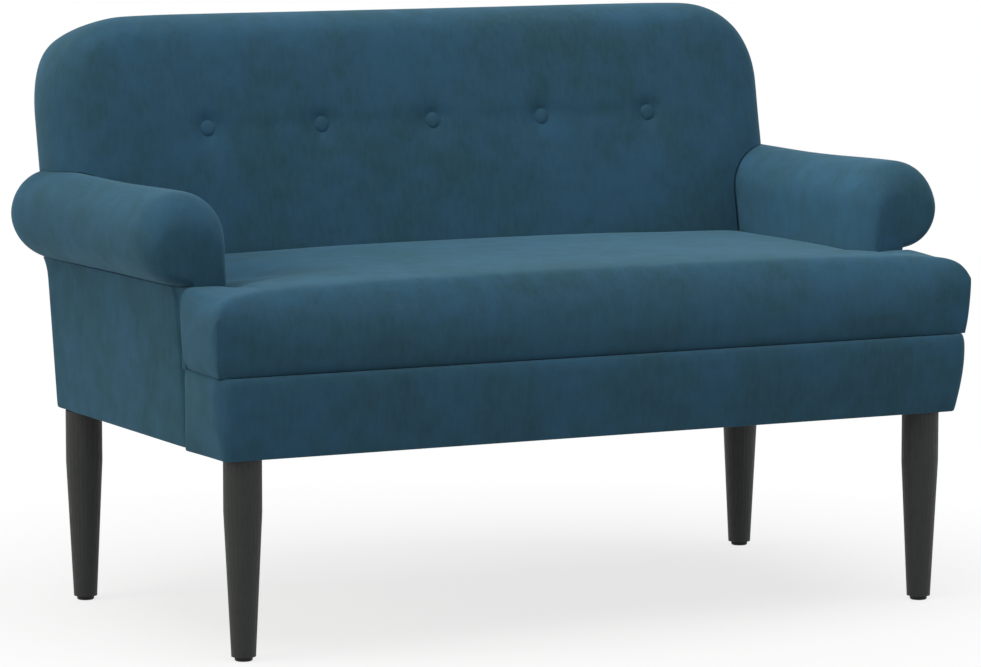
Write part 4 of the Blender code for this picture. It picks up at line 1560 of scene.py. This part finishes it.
@dataclass
class BaseBand:
    """The padded border below the seat, along the front and round both ears."""

    places: Places
    swell: float = 0.0125
    turn: float = math.radians(112.0)
    end_out: float = 0.0035
    end_round: float = 0.0060
    end_steps: int = 4
    corner: float = 0.010
    corner_steps: int = 7
    stand_out: float = 0.0025
    stand_forward: float = 0.0015
    tuck: float = 0.0024
    tuck_start: float = 0.86
    tail: float = 0.005
    seam_gap: float = 0.0004
    hem: tuple[Flat, ...] = ((0.0002, -0.0080), (-0.0006, -0.0040), (-0.0004, -0.0009), (0.0008, -0.0002))
    thickness: float = 0.007
    step: float = 0.014
    rows: int = 22

    def path(self) -> list[tuple[Vector, Vector, float]]:
        """Return the band's run in plan from the left ear to the right.

        Returns:
            Each point's place, its way out and its share of straightness.
        """
        places = self.places
        side, front = places.panel_side + self.stand_out, places.seat_front + self.swell - self.stand_forward
        middle_x, middle_y = side - self.corner, front + self.corner
        left, ahead = Vector((-1.0, 0.0)), Vector((0.0, -1.0))
        run: list[tuple[Vector, Vector, float]] = []
        for step in range(self.end_steps):
            turn = math.pi / 2.0 * step / self.end_steps
            x = self.end_round * (1.0 - math.sin(turn)) - side
            y = places.ear_back - self.end_round * (1.0 - math.cos(turn))
            run.append((Vector((x, y)), left, 1.0))
        count = round((places.ear_back - middle_y) / self.step)
        for index in range(1, count):
            y = places.ear_back + (middle_y - places.ear_back) * index / count
            run.append((Vector((-side, y)), left, (1.0 - index / count) ** 2))
        for index in range(self.corner_steps + 1):
            angle = math.pi + math.pi / 2.0 * index / self.corner_steps
            way = Vector((math.cos(angle), math.sin(angle)))
            run.append((Vector((-middle_x, middle_y)) + way * self.corner, way, 0.0))
        half = round(middle_x / self.step)
        for index in range(1, half + 1):
            run.append((Vector((-middle_x * (1.0 - index / half), front)), ahead, 0.0))
        mirror = [(Vector((-p.x, p.y)), Vector((-w.x, w.y)), share) for p, w, share in reversed(run[:-1])]
        return run + mirror

    def levels(self) -> list[tuple[float, float, float]]:
        """Return the band's rows from the hem under it to the tuck at the seam.

        Returns:
            Each row's height, swell and shift.
        """
        low, high = self.places.base, self.places.seam - self.seam_gap
        found = [(low + rise, 0.0, shift) for rise, shift in self.hem]
        for row in range(1, self.rows + 1):
            share = row / self.rows
            tucked = self.tuck * max(0.0, (share - self.tuck_start) / (1.0 - self.tuck_start)) ** 2
            found.append((low + (high - low) * share, self.swell * math.sin(self.turn * share), -tucked))
        found.append((high, self.swell * math.sin(self.turn), -self.tuck - self.tail))
        return found

    def build(self) -> bpy.types.Object:
        """Build the band.

        Returns:
            The piece.
        """
        shape = bmesh.new()
        run = self.path()
        last: list[bmesh.types.BMVert] = []
        for height, swell, shift in self.levels():
            row = []
            for spot, way, straight in run:
                flat = spot + way * (swell + (self.end_out - swell) * straight + shift)
                row.append(shape.verts.new((flat.x, flat.y, height)))
            join_rows(shape, last, row)
            last = row
        piece = make_object("base_border", shape)
        middle = (self.places.base + self.places.seam) / 2.0
        finish_panel(piece, (0.0, self.places.ear_back, middle), self.thickness)
        return piece

    def dress(self, finishes: Finishes) -> None:
        """Build the band and give it its velvet.

        Args:
            finishes: The settee's materials.
        """
        band = self.build()
        dress(band, finishes.velvet, "velvet", "base_band")


@dataclass
class Arm:
    """One rolled arm with a domed front, and the flat panel that closes its outside."""

    places: Places
    side: Side
    dome: float = 0.0225
    dome_deep: float = 0.0380
    dome_steps: int = 7
    rear_round: float = 0.0230
    rear_deep: float = 0.0440
    roll_more: float = 1.25
    roll_less: float = 0.45
    neck_outer: float = 0.0008
    rows: int = 26
    roll_steps: int = 34
    side_steps: int = 8
    sag: float = 0.0030
    panel_thickness: float = 0.0045
    panel_share: float = 0.9
    panel_puff: float = 0.0012
    panel_columns: int = 24
    panel_rows: int = 16
    roll_gap: float = 0.0006
    front_gap: float = 0.0012
    edge_high: float = 0.042
    edge_low: float = 0.014
    edge_in: float = 0.0056
    edge_round: float = 0.009
    edge_steps: int = 5
    edge_soft: float = 0.002
    lap: float = 0.012
    wrap: float = 0.030
    flare: float = 0.0045
    flare_reach: float = 0.022
    rear_turn: float = 0.006
    rear_steps: int = 3
    hem: tuple[Flat, ...] = ((0.0006, -0.0045), (0.0004, -0.0022), (0.0014, -0.0007), (0.0036, 0.0))

    @property
    def outer(self) -> float:
        """Return how far out the neck of the arm reaches, inside its panel."""
        return self.places.panel_side - self.panel_thickness - self.neck_outer

    def section(self) -> list[tuple[float, float, float]]:
        """Return the keyhole section from the inner seam over the roll to the outer seam.

        Returns:
            Each point's x, z and share of the roll's sag.
        """
        places = self.places
        radius = places.roll_radius
        found = []
        for step in range(self.side_steps):
            share = step / self.side_steps
            found.append((places.arm_inner, places.seam + (places.roll_z - places.seam) * share, 0.0))
        start = math.pi
        end = -math.acos((self.outer - places.roll_x) / radius)
        for step in range(self.roll_steps + 1):
            share = step / self.roll_steps
            angle = start + (end - start) * share
            found.append((places.roll_x + radius * math.cos(angle), places.roll_z + radius * math.sin(angle),
                          math.sin(math.pi * share)))
        low = found[-1][1]
        for step in range(1, self.side_steps + 1):
            found.append((self.outer, low + (places.seam - low) * step / self.side_steps, 0.0))
        return found

    def rows_along(self) -> list[tuple[float, float, float]]:
        """Return the arm's rows from the rear end to the front.

        Returns:
            Each row's share along, its way out past that end and its inset.
        """
        turns = [math.pi / 2.0 * step / self.dome_steps for step in range(1, self.dome_steps + 1)]
        rear = [(0.0, self.rear_deep * math.sin(turn), self.rear_round * (1.0 - math.cos(turn)))
                for turn in reversed(turns)]
        middle = [(row / self.rows, 0.0, 0.0) for row in range(self.rows + 1)]
        front = [(1.0, -self.dome_deep * math.sin(turn), self.dome * (1.0 - math.cos(turn)))
                 for turn in turns]
        return rear + middle + front

    def inward(self, section: Sequence[tuple[float, float, float]]) -> list[Flat]:
        """Return the way into the section at each of its points.

        Args:
            section: The keyhole's points.

        Returns:
            Unit steps across and up.
        """
        found = []
        count = len(section)
        for index in range(count):
            before, after = section[index - 1], section[(index + 1) % count]
            run = Vector((after[0] - before[0], after[1] - before[1])).normalized()
            found.append((run.y, -run.x))
        return found

    def build(self) -> bpy.types.Object:
        """Build the arm's padded cover.

        Returns:
            The piece.
        """
        places = self.places
        sign = float(self.side.value)
        section = self.section()
        inward = self.inward(section)
        front = places.arm_front + self.dome_deep
        shape = bmesh.new()
        rings = []
        for share, past, inset in self.rows_along():
            ring = []
            for (x, z, soft), (in_x, in_z) in zip(section, inward):
                rear = places.plane.y_at(z, self.rear_deep)
                y = rear + (front - rear) * share + past
                turned_in = inset * self.fullness_at(z)
                sunk = self.sag * soft * math.sin(math.pi * share) ** 2 / places.roll_radius
                flat_x = places.roll_x + (x - places.roll_x) * (1.0 - sunk) + in_x * turned_in
                flat_z = places.roll_z + (z - places.roll_z) * (1.0 - sunk) + in_z * turned_in
                ring.append(shape.verts.new((flat_x * sign, y, flat_z - places.drop_at(z, share))))
            rings.append(ring)
        for first, second in zip(rings, rings[1:]):
            join_rows(shape, first, second, closed=True)
        shape.faces.new(rings[-1])
        shape.faces.new(rings[0])
        piece = make_object(f"arm_cushion_{self.side.word}", shape)
        subdivide(piece)
        smooth_faces(piece)
        return piece

    def fullness_at(self, height: float) -> float:
        """Return how much the roll's ends turn in at a height: more at the top, less below its middle."""
        rise = min(max((height - self.places.roll_z) / self.places.roll_radius, -1.0), 1.0)
        return 1.0 + (self.roll_more if rise > 0.0 else self.roll_less) * rise

    def space(self, ease: float, beside: float) -> bpy.types.Object:
        """Build the space that the arm takes out of the back.

        Args:
            ease: How much wider it is all round.
            beside: How much more it is wider on the arm's inner side.

        Returns:
            The cutter.
        """
        cutter = self.build()
        for vertex in cutter.data.vertices:
            inward = max(-vertex.normal.x * self.side.value, 0.0)
            vertex.co += vertex.normal * (ease + beside * inward)
        return cutter

    def panel_path(self, height: float) -> list[Flat]:
        """Return the panel's run in plan at a height, from inside the arm's front to the rear turn.

        Args:
            height: The height.

        Returns:
            The points, for the right side.
        """
        places = self.places
        side = places.panel_side
        front = places.arm_front + self.front_gap
        rear = places.rear_at(height) - self.rear_turn
        top = places.roll_z - places.roll_radius
        share_up = (height - places.base) / (top - places.base)
        start = front + self.edge_low + (self.edge_high - self.edge_low) * ramp(share_up, 0.0, 1.0)
        inner = side - self.edge_in
        behind_band = height < places.seam - self.lap / 2.0
        end, wrap = (front - self.lap, 0.0) if behind_band else (front, self.wrap)
        soft = self.edge_soft
        found = [(inner - wrap - 2.0 * soft, end), (inner - wrap / 2.0 - 1.5 * soft, end),
                 (inner - soft, end), (inner, end + soft),
                 (inner, (front + start - self.edge_round) / 2.0)]
        for step in range(self.edge_steps):
            share = step / self.edge_steps
            x = inner + self.edge_in * ramp(share, 0.0, 1.0)
            found.append((x, start - self.edge_round * (1.0 - share)))
        for step in range(1, self.panel_columns + 1):
            share = step / self.panel_columns
            puff = self.panel_puff * math.sin(math.pi * share) * math.sin(math.pi * clamp(share_up))
            found.append((side + puff, start + (rear - start) * share))
        for step in range(1, self.rear_steps + 1):
            angle = math.pi / 2.0 * step / self.rear_steps
            x = side - self.rear_turn * (1.0 - math.cos(angle))
            found.append((x, rear + self.rear_turn * math.sin(angle)))
        return found

    def build_panel(self) -> bpy.types.Object:
        """Build the outer panel, with its front strip, its flare under the roll and its turned edges.

        Returns:
            The piece.
        """
        places = self.places
        low = places.base
        high = places.roll_z - places.roll_radius - self.roll_gap
        levels = [(low + rise, out) for rise, out in self.hem]
        start = self.hem[-1][0]
        for step in range(1, self.panel_rows + 1):
            height = low + start + (high - low - start) * step / self.panel_rows
            near = max(0.0, 1.0 - (high - height) / self.flare_reach)
            levels.append((height, self.flare * near * near))
        shape = bmesh.new()
        last: list[bmesh.types.BMVert] = []
        for height, out in levels:
            path = self.panel_path(height)
            row = []
            for x, y in path:
                share = min((path[-1][1] - y) / (path[-1][1] - path[0][1]), 1.0)
                drop = places.drop_at(height, share)
                row.append(shape.verts.new(((x + out) * self.side.value, y, height - drop)))
            join_rows(shape, last, row)
            last = row
        piece = make_object(f"outer_panel_{self.side.word}", shape)
        finish_panel(piece, (0.0, 0.0, (low + high) / 2.0), self.panel_thickness * self.panel_share)
        return piece

    def dress(self, finishes: Finishes) -> None:
        """Build the arm and its panel and give them their velvet.

        Args:
            finishes: The settee's materials.
        """
        word = self.side.word
        arm = self.build()
        dress(arm, finishes.velvet, "velvet", f"arm_cover_{word}", f"arm_foam_{word}")
        panel = self.build_panel()
        dress(panel, finishes.velvet, "velvet", f"outer_arm_panel_{word}")


@dataclass
class OuterBack:
    """The velvet panel that closes the rear, pulled tight over its board."""

    places: Places
    height: float = 0.4842
    inset: float = 0.0150
    corner: float = 0.100
    shoulder: float = 0.318
    side_in: float = 0.0085
    thickness: float = 0.0052
    cloth_share: float = 0.6
    puff: float = 0.0016
    edge: float = 0.007
    edge_steps: int = 3
    edge_share: float = 0.7
    step: float = 0.022

    def build(self) -> bpy.types.Object:
        """Build the panel.

        Returns:
            The piece.
        """
        places = self.places
        wide = places.back_side - self.inset
        narrow = places.panel_side - self.side_in
        tight = eased(self.edge, self.edge_steps)
        half = stations(0.0, narrow, [0.0], tight, self.step)
        half += stations(narrow, wide, [0.0], tight, self.step)[1:]
        rows = stations(0.0, self.shoulder, tight, SEAM_STEP, self.step)
        rows += stations(self.shoulder, self.height, SEAM_STEP, tight, self.step)[1:]

        def keep(x: float, y: float) -> bool:
            """Say whether a cell lies on the panel."""
            return abs(x) < narrow or y > self.shoulder

        def surface(x: float, y: float) -> Vector:
            """Return a point of the panel's outer face.

            Args:
                x: Across on the square grid.
                y: Up on the square grid.

            Returns:
                The point.
            """
            flat_x, flat_y = pull_round((x, y), (math.copysign(wide, x), self.height), self.corner, 1)
            side = wide if flat_y > self.shoulder else narrow
            near = min(rounded(side - abs(flat_x), self.height - flat_y, self.corner), flat_y)
            crown = self.puff * (1.0 - (flat_x / wide) ** 2) * math.sin(math.pi * flat_y / self.height)
            depth = fall(near, self.edge, self.thickness * self.edge_share) - crown
            spot = places.plane.point(flat_x, flat_y, depth)
            spot.y += places.rear_at(spot.z) - places.plane.y_at(spot.z, 0.0)
            return spot

        piece = make_object("outer_back", grid(mirrored(half), rows, keep, surface))
        finish_panel(piece, (0.0, 0.0, self.height / 2.0), self.thickness * self.cloth_share)
        return piece

    def dress(self, finishes: Finishes) -> None:
        """Build the panel and give it its velvet.

        Args:
            finishes: The settee's materials.
        """
        panel = self.build()
        dress(panel, finishes.velvet, "velvet", "outer_back_panel")


@dataclass
class StretchedCloth:
    """A flat cloth stapled along its edges, with a little sag between them."""

    node: str
    name: str
    sag: float
    thickness: float
    step: float = 0.024
    edge: float = 0.004
    ripple: float = 0.12
    ripples_across: float = 47.0
    ripples_along: float = 61.0

    def build(self) -> tuple[bpy.types.Object, Flat]:
        """Build the cloth in its node's place.

        Returns:
            The piece and its flat size.
        """
        low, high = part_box(self.node)
        edge = [0.0, self.edge]
        columns = stations(low.x, high.x, edge, edge, self.step)
        rows = stations(low.y, high.y, edge, edge, self.step)

        def surface(x: float, y: float) -> Vector:
            """Return a point of the cloth's upper face.

            Args:
                x: Across.
                y: Along.

            Returns:
                The point.
            """
            across = math.sin(math.pi * (x - low.x) / (high.x - low.x))
            along = math.sin(math.pi * (y - low.y) / (high.y - low.y))
            ripple = self.ripple * math.sin(x * self.ripples_across) * math.sin(y * self.ripples_along)
            return Vector((x, y, high.z - self.sag * across * along * (1.0 + ripple)))

        piece = make_object(self.name, grid(columns, rows, lambda x, y: True, surface))
        turn_out(piece, (0.0, 0.0, low.z - 1.0))
        thicken(piece, self.thickness)
        smooth_faces(piece)
        return piece, (high.x - low.x, high.y - low.y)

    def dress(self, material: bpy.types.Material, slot: str, rests_on: Sequence[str],
              with_pieces: Sequence[bpy.types.Object] = ()) -> None:
        """Build the cloth and finish it.

        Args:
            material: Its material.
            slot: The record's slot.
            rests_on: The nodes that carry it; not used.
            with_pieces: Pieces that go with it; not used.
        """
        piece, flat = self.build()
        dress(piece, material, slot, self.node)


@dataclass
class Staples:
    """The row of staples that holds the dust cover to the rails."""

    margin: float = 0.009
    spacing: float = 0.046
    crown: float = 0.0095
    wire: float = 0.0009
    proud: float = 0.0003
    sunk: float = 0.0012

    def build(self) -> bpy.types.Object:
        """Build every staple as one piece.

        Returns:
            The piece.
        """
        low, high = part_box("dust_cover")
        left, right = low.x + self.margin, high.x - self.margin
        front, rear = low.y + self.margin, high.y - self.margin
        across = round((right - left) / self.spacing)
        along = round((rear - front) / self.spacing)
        shape = bmesh.new()
        for index in range(1, across):
            x = left + (right - left) * index / across
            for y in (front, rear):
                self.add(shape, Vector((x, y, low.z)), Vector((1.0, 0.0, 0.0)))
        for index in range(1, along):
            y = front + (rear - front) * index / along
            for x in (left, right):
                self.add(shape, Vector((x, y, low.z)), Vector((0.0, 1.0, 0.0)))
        return make_object("dust_cover_staples", shape)

    def add(self, shape: bmesh.types.BMesh, middle: Vector, way: Vector) -> None:
        """Add one staple: a wire crown with its two bent ends.

        Args:
            shape: The mesh to add to.
            middle: The middle of the crown, on the cloth's lower face.
            way: The crown's direction.
        """
        half = way * (self.crown / 2.0)
        aside = way.cross(UP)
        run = ((middle - half + UP * self.sunk, way), (middle - half - UP * self.proud, UP),
               (middle + half - UP * self.proud, UP), (middle + half + UP * self.sunk, way))
        rings = []
        for spot, upright in run:
            ring = [spot + (aside * math.cos(turn) + upright * math.sin(turn)) * self.wire / 2.0
                    for turn in (0.0, math.pi / 2.0, math.pi, math.pi * 1.5)]
            rings.append([shape.verts.new(place) for place in ring])
        for first, second in zip(rings, rings[1:]):
            join_rows(shape, first, second, closed=True)
        shape.faces.new(rings[0])
        shape.faces.new(rings[-1])


class Woodwork:
    """The solids that stay as they are: legs, glides, fixings and the hidden frame."""

    def __init__(self, finishes: Finishes) -> None:
        """Keep the finishes."""
        self.finishes = finishes

    def finish_of(self, name: str) -> bpy.types.Material | None:
        """Return the material for a node by the first words of its name.

        Args:
            name: The node's name.

        Returns:
            The material, or None where a soft piece stands for the node.
        """
        finishes = self.finishes
        choices = (
            (finishes.leg, ("leg_",)),
            (finishes.glide, ("glide_",)),
            (finishes.steel, ("hanger_bolt_", "insert_nut_", "seat_spring_")),
            (finishes.pine[Grain.UPRIGHT], ("corner_post_", "back_post_")),
            (finishes.pine[Grain.DEEP], ("side_rail_", "centre_stretcher", "arm_rail_")),
            (finishes.pine[Grain.ACROSS], ("front_rail", "rear_rail", "spring_strip_", "back_top_rail",
                                           "back_button_rail", "back_lower_rail")),
            (finishes.plywood, ("arm_board_",)),
            (finishes.hardboard, ("back_board",)),
        )
        return next((material for material, starts in choices if name.startswith(starts)), None)

    def dress(self) -> None:
        """Give every solid that shows its material."""
        for name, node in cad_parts.items():
            material = self.finish_of(name)
            if material is None:
                continue
            node.data.materials.clear()
            node.data.materials.append(material)
            LOG.info("%s: %s", name, material.name)


# The studio


@dataclass(frozen=True)
class Lamp:
    """A soft square lamp: its place, what it faces, its side, its power in watts and its beam in degrees."""

    name: str
    place: Spot
    goal: Spot
    size: float
    power: float
    colour: Colour = (1.0, 1.0, 1.0)
    spread: float = 180.0

    def hang(self) -> None:
        """Hang the lamp in the scene."""
        data = bpy.data.lights.new(self.name, "AREA")
        data.size = self.size
        data.energy = self.power
        data.color = self.colour
        data.spread = math.radians(self.spread)
        lamp = bpy.data.objects.new(self.name, data)
        lamp.location = self.place
        lamp.rotation_euler = (Vector(self.goal) - Vector(self.place)).to_track_quat("-Z", "Y").to_euler()
        bpy.context.scene.collection.objects.link(lamp)


@dataclass
class Studio:
    """A pale floor, soft light and the camera at the photograph's angle."""

    lens: float = 173.97
    sensor: float = 36.0
    far: float = 100.0
    camera_place: Spot = (-2.726, -5.4106, 1.0557)
    camera_turn: Spot = (83.2555, 0.0, -26.738)
    sky: float = 0.36
    floor_size: float = 14.0
    paint: float = 0.50
    shadow_paint: float = 0.98
    shadow_share: float = 0.26
    shadow_near: float = 0.40
    shadow_far: float = 1.05
    lamps: tuple[Lamp, ...] = (
        Lamp("top_softbox", (-0.2, -0.4, 3.2), (0.0, 0.0, 0.3), size=2.8, power=46.0),
        Lamp("left_softbox", (-6.0, -0.4, 3.0), (0.0, 0.0, 0.4), size=4.0, power=140.0,
             colour=(1.0, 0.96, 0.86)),
        Lamp("right_fill", (3.2, -4.2, 1.8), (0.3, -0.1, 0.45), size=2.4, power=20.0),
        Lamp("arm_fill", (-3.0, -0.6, 2.2), (0.52, -0.06, 0.5), size=0.5, power=0.40,
             colour=(1.0, 0.97, 0.92), spread=14.0),
    )

    def camera(self) -> None:
        """Set the camera."""
        data = bpy.data.cameras.new("camera")
        data.lens = self.lens
        data.sensor_width = self.sensor
        data.clip_end = self.far
        camera = bpy.data.objects.new("camera", data)
        camera.location = self.camera_place
        camera.rotation_euler = [math.radians(turn) for turn in self.camera_turn]
        bpy.context.scene.collection.objects.link(camera)
        bpy.context.scene.camera = camera

    def seen(self, tree: Tree) -> bpy.types.NodeSocket:
        """Return 1 for camera, mirror and glass rays, which see a plain white background.

        Args:
            tree: The material's or the world's tree.

        Returns:
            The mask.
        """
        path = tree.add("ShaderNodeLightPath")
        direct = tree.math("MAXIMUM", path.outputs["Is Camera Ray"], path.outputs["Is Glossy Ray"])
        return tree.math("MAXIMUM", direct, path.outputs["Is Transmission Ray"])

    def world(self) -> None:
        """Light the scene evenly, with a white background behind it."""
        world = bpy.data.worlds.new("studio")
        world.use_nodes = True
        bpy.context.scene.world = world
        world.node_tree.nodes.clear()
        tree = Tree(world.node_tree)
        soft = tree.feed(tree.add("ShaderNodeBackground"), Color=WHITE, Strength=self.sky)
        white = tree.feed(tree.add("ShaderNodeBackground"), Color=WHITE, Strength=1.0)
        light = tree.mix(self.seen(tree), soft.outputs["Background"], white.outputs["Background"])
        tree.link(light, tree.add("ShaderNodeOutputWorld").inputs["Surface"])

    def floor(self) -> None:
        """Lay the floor, white to the camera apart from the settee's shadow."""
        shape = bmesh.new()
        bmesh.ops.create_grid(shape, x_segments=4, y_segments=4, size=self.floor_size)
        floor = make_object("studio_floor", shape)
        material = bpy.data.materials.new("floor_paint")
        material.use_nodes = True
        material.node_tree.nodes.clear()
        tree = Tree(material.node_tree)
        paint, lit = (tree.feed(tree.add("ShaderNodeBsdfDiffuse"), Color=(grey, grey, grey, 1.0))
                      for grey in (self.paint, self.shadow_paint))
        glow = tree.feed(tree.add("ShaderNodeEmission"), Color=WHITE, Strength=1.0)
        away = tree.add("ShaderNodeVectorMath", operation="LENGTH")
        tree.link(tree.place(), away.inputs[0])
        share = tree.span(away.outputs["Value"], self.shadow_near, self.shadow_far, self.shadow_share, 0.0)
        pale = tree.mix(share, glow.outputs["Emission"], lit.outputs["BSDF"])
        surface = tree.mix(self.seen(tree), paint.outputs["BSDF"], pale)
        tree.link(surface, tree.add("ShaderNodeOutputMaterial").inputs["Surface"])
        floor.data.materials.append(material)

    def set_up(self) -> None:
        """Build the whole studio."""
        self.camera()
        self.world()
        self.floor()
        for lamp in self.lamps:
            lamp.hang()
        bpy.context.scene.view_settings.view_transform = "Standard"
        LOG.info("studio set")


def main() -> None:
    """Build the studio, then every sub-assembly in order."""
    logging.basicConfig(level=logging.INFO, format="%(message)s")
    Studio().set_up()
    finishes = Finishes()
    places = Places.from_frame()
    back = Back(places)
    Seat(places, back).dress(finishes)
    BaseBand(places).dress(finishes)
    for side in Side:
        Arm(places, side).dress(finishes)
    back.dress(finishes)
    OuterBack(places).dress(finishes)
    staples = Staples().build()
    dress(staples, finishes.steel, "steel")
    rails = ("front_rail", "rear_rail", "side_rail_left", "side_rail_right")
    dust = StretchedCloth("dust_cover", "dust_cloth", sag=0.0016, thickness=0.0007)
    dust.dress(finishes.dust, "dust_cloth", rails, [staples])
    springs = [f"seat_spring_{number}" for number in (1, 2, 3, 4)]
    felt = StretchedCloth("seat_deck", "deck_felt", sag=0.0003, thickness=0.0015)
    felt.dress(finishes.felt, "deck_felt", springs)
    Woodwork(finishes).dress()


if __name__ == "__main__":
    main()
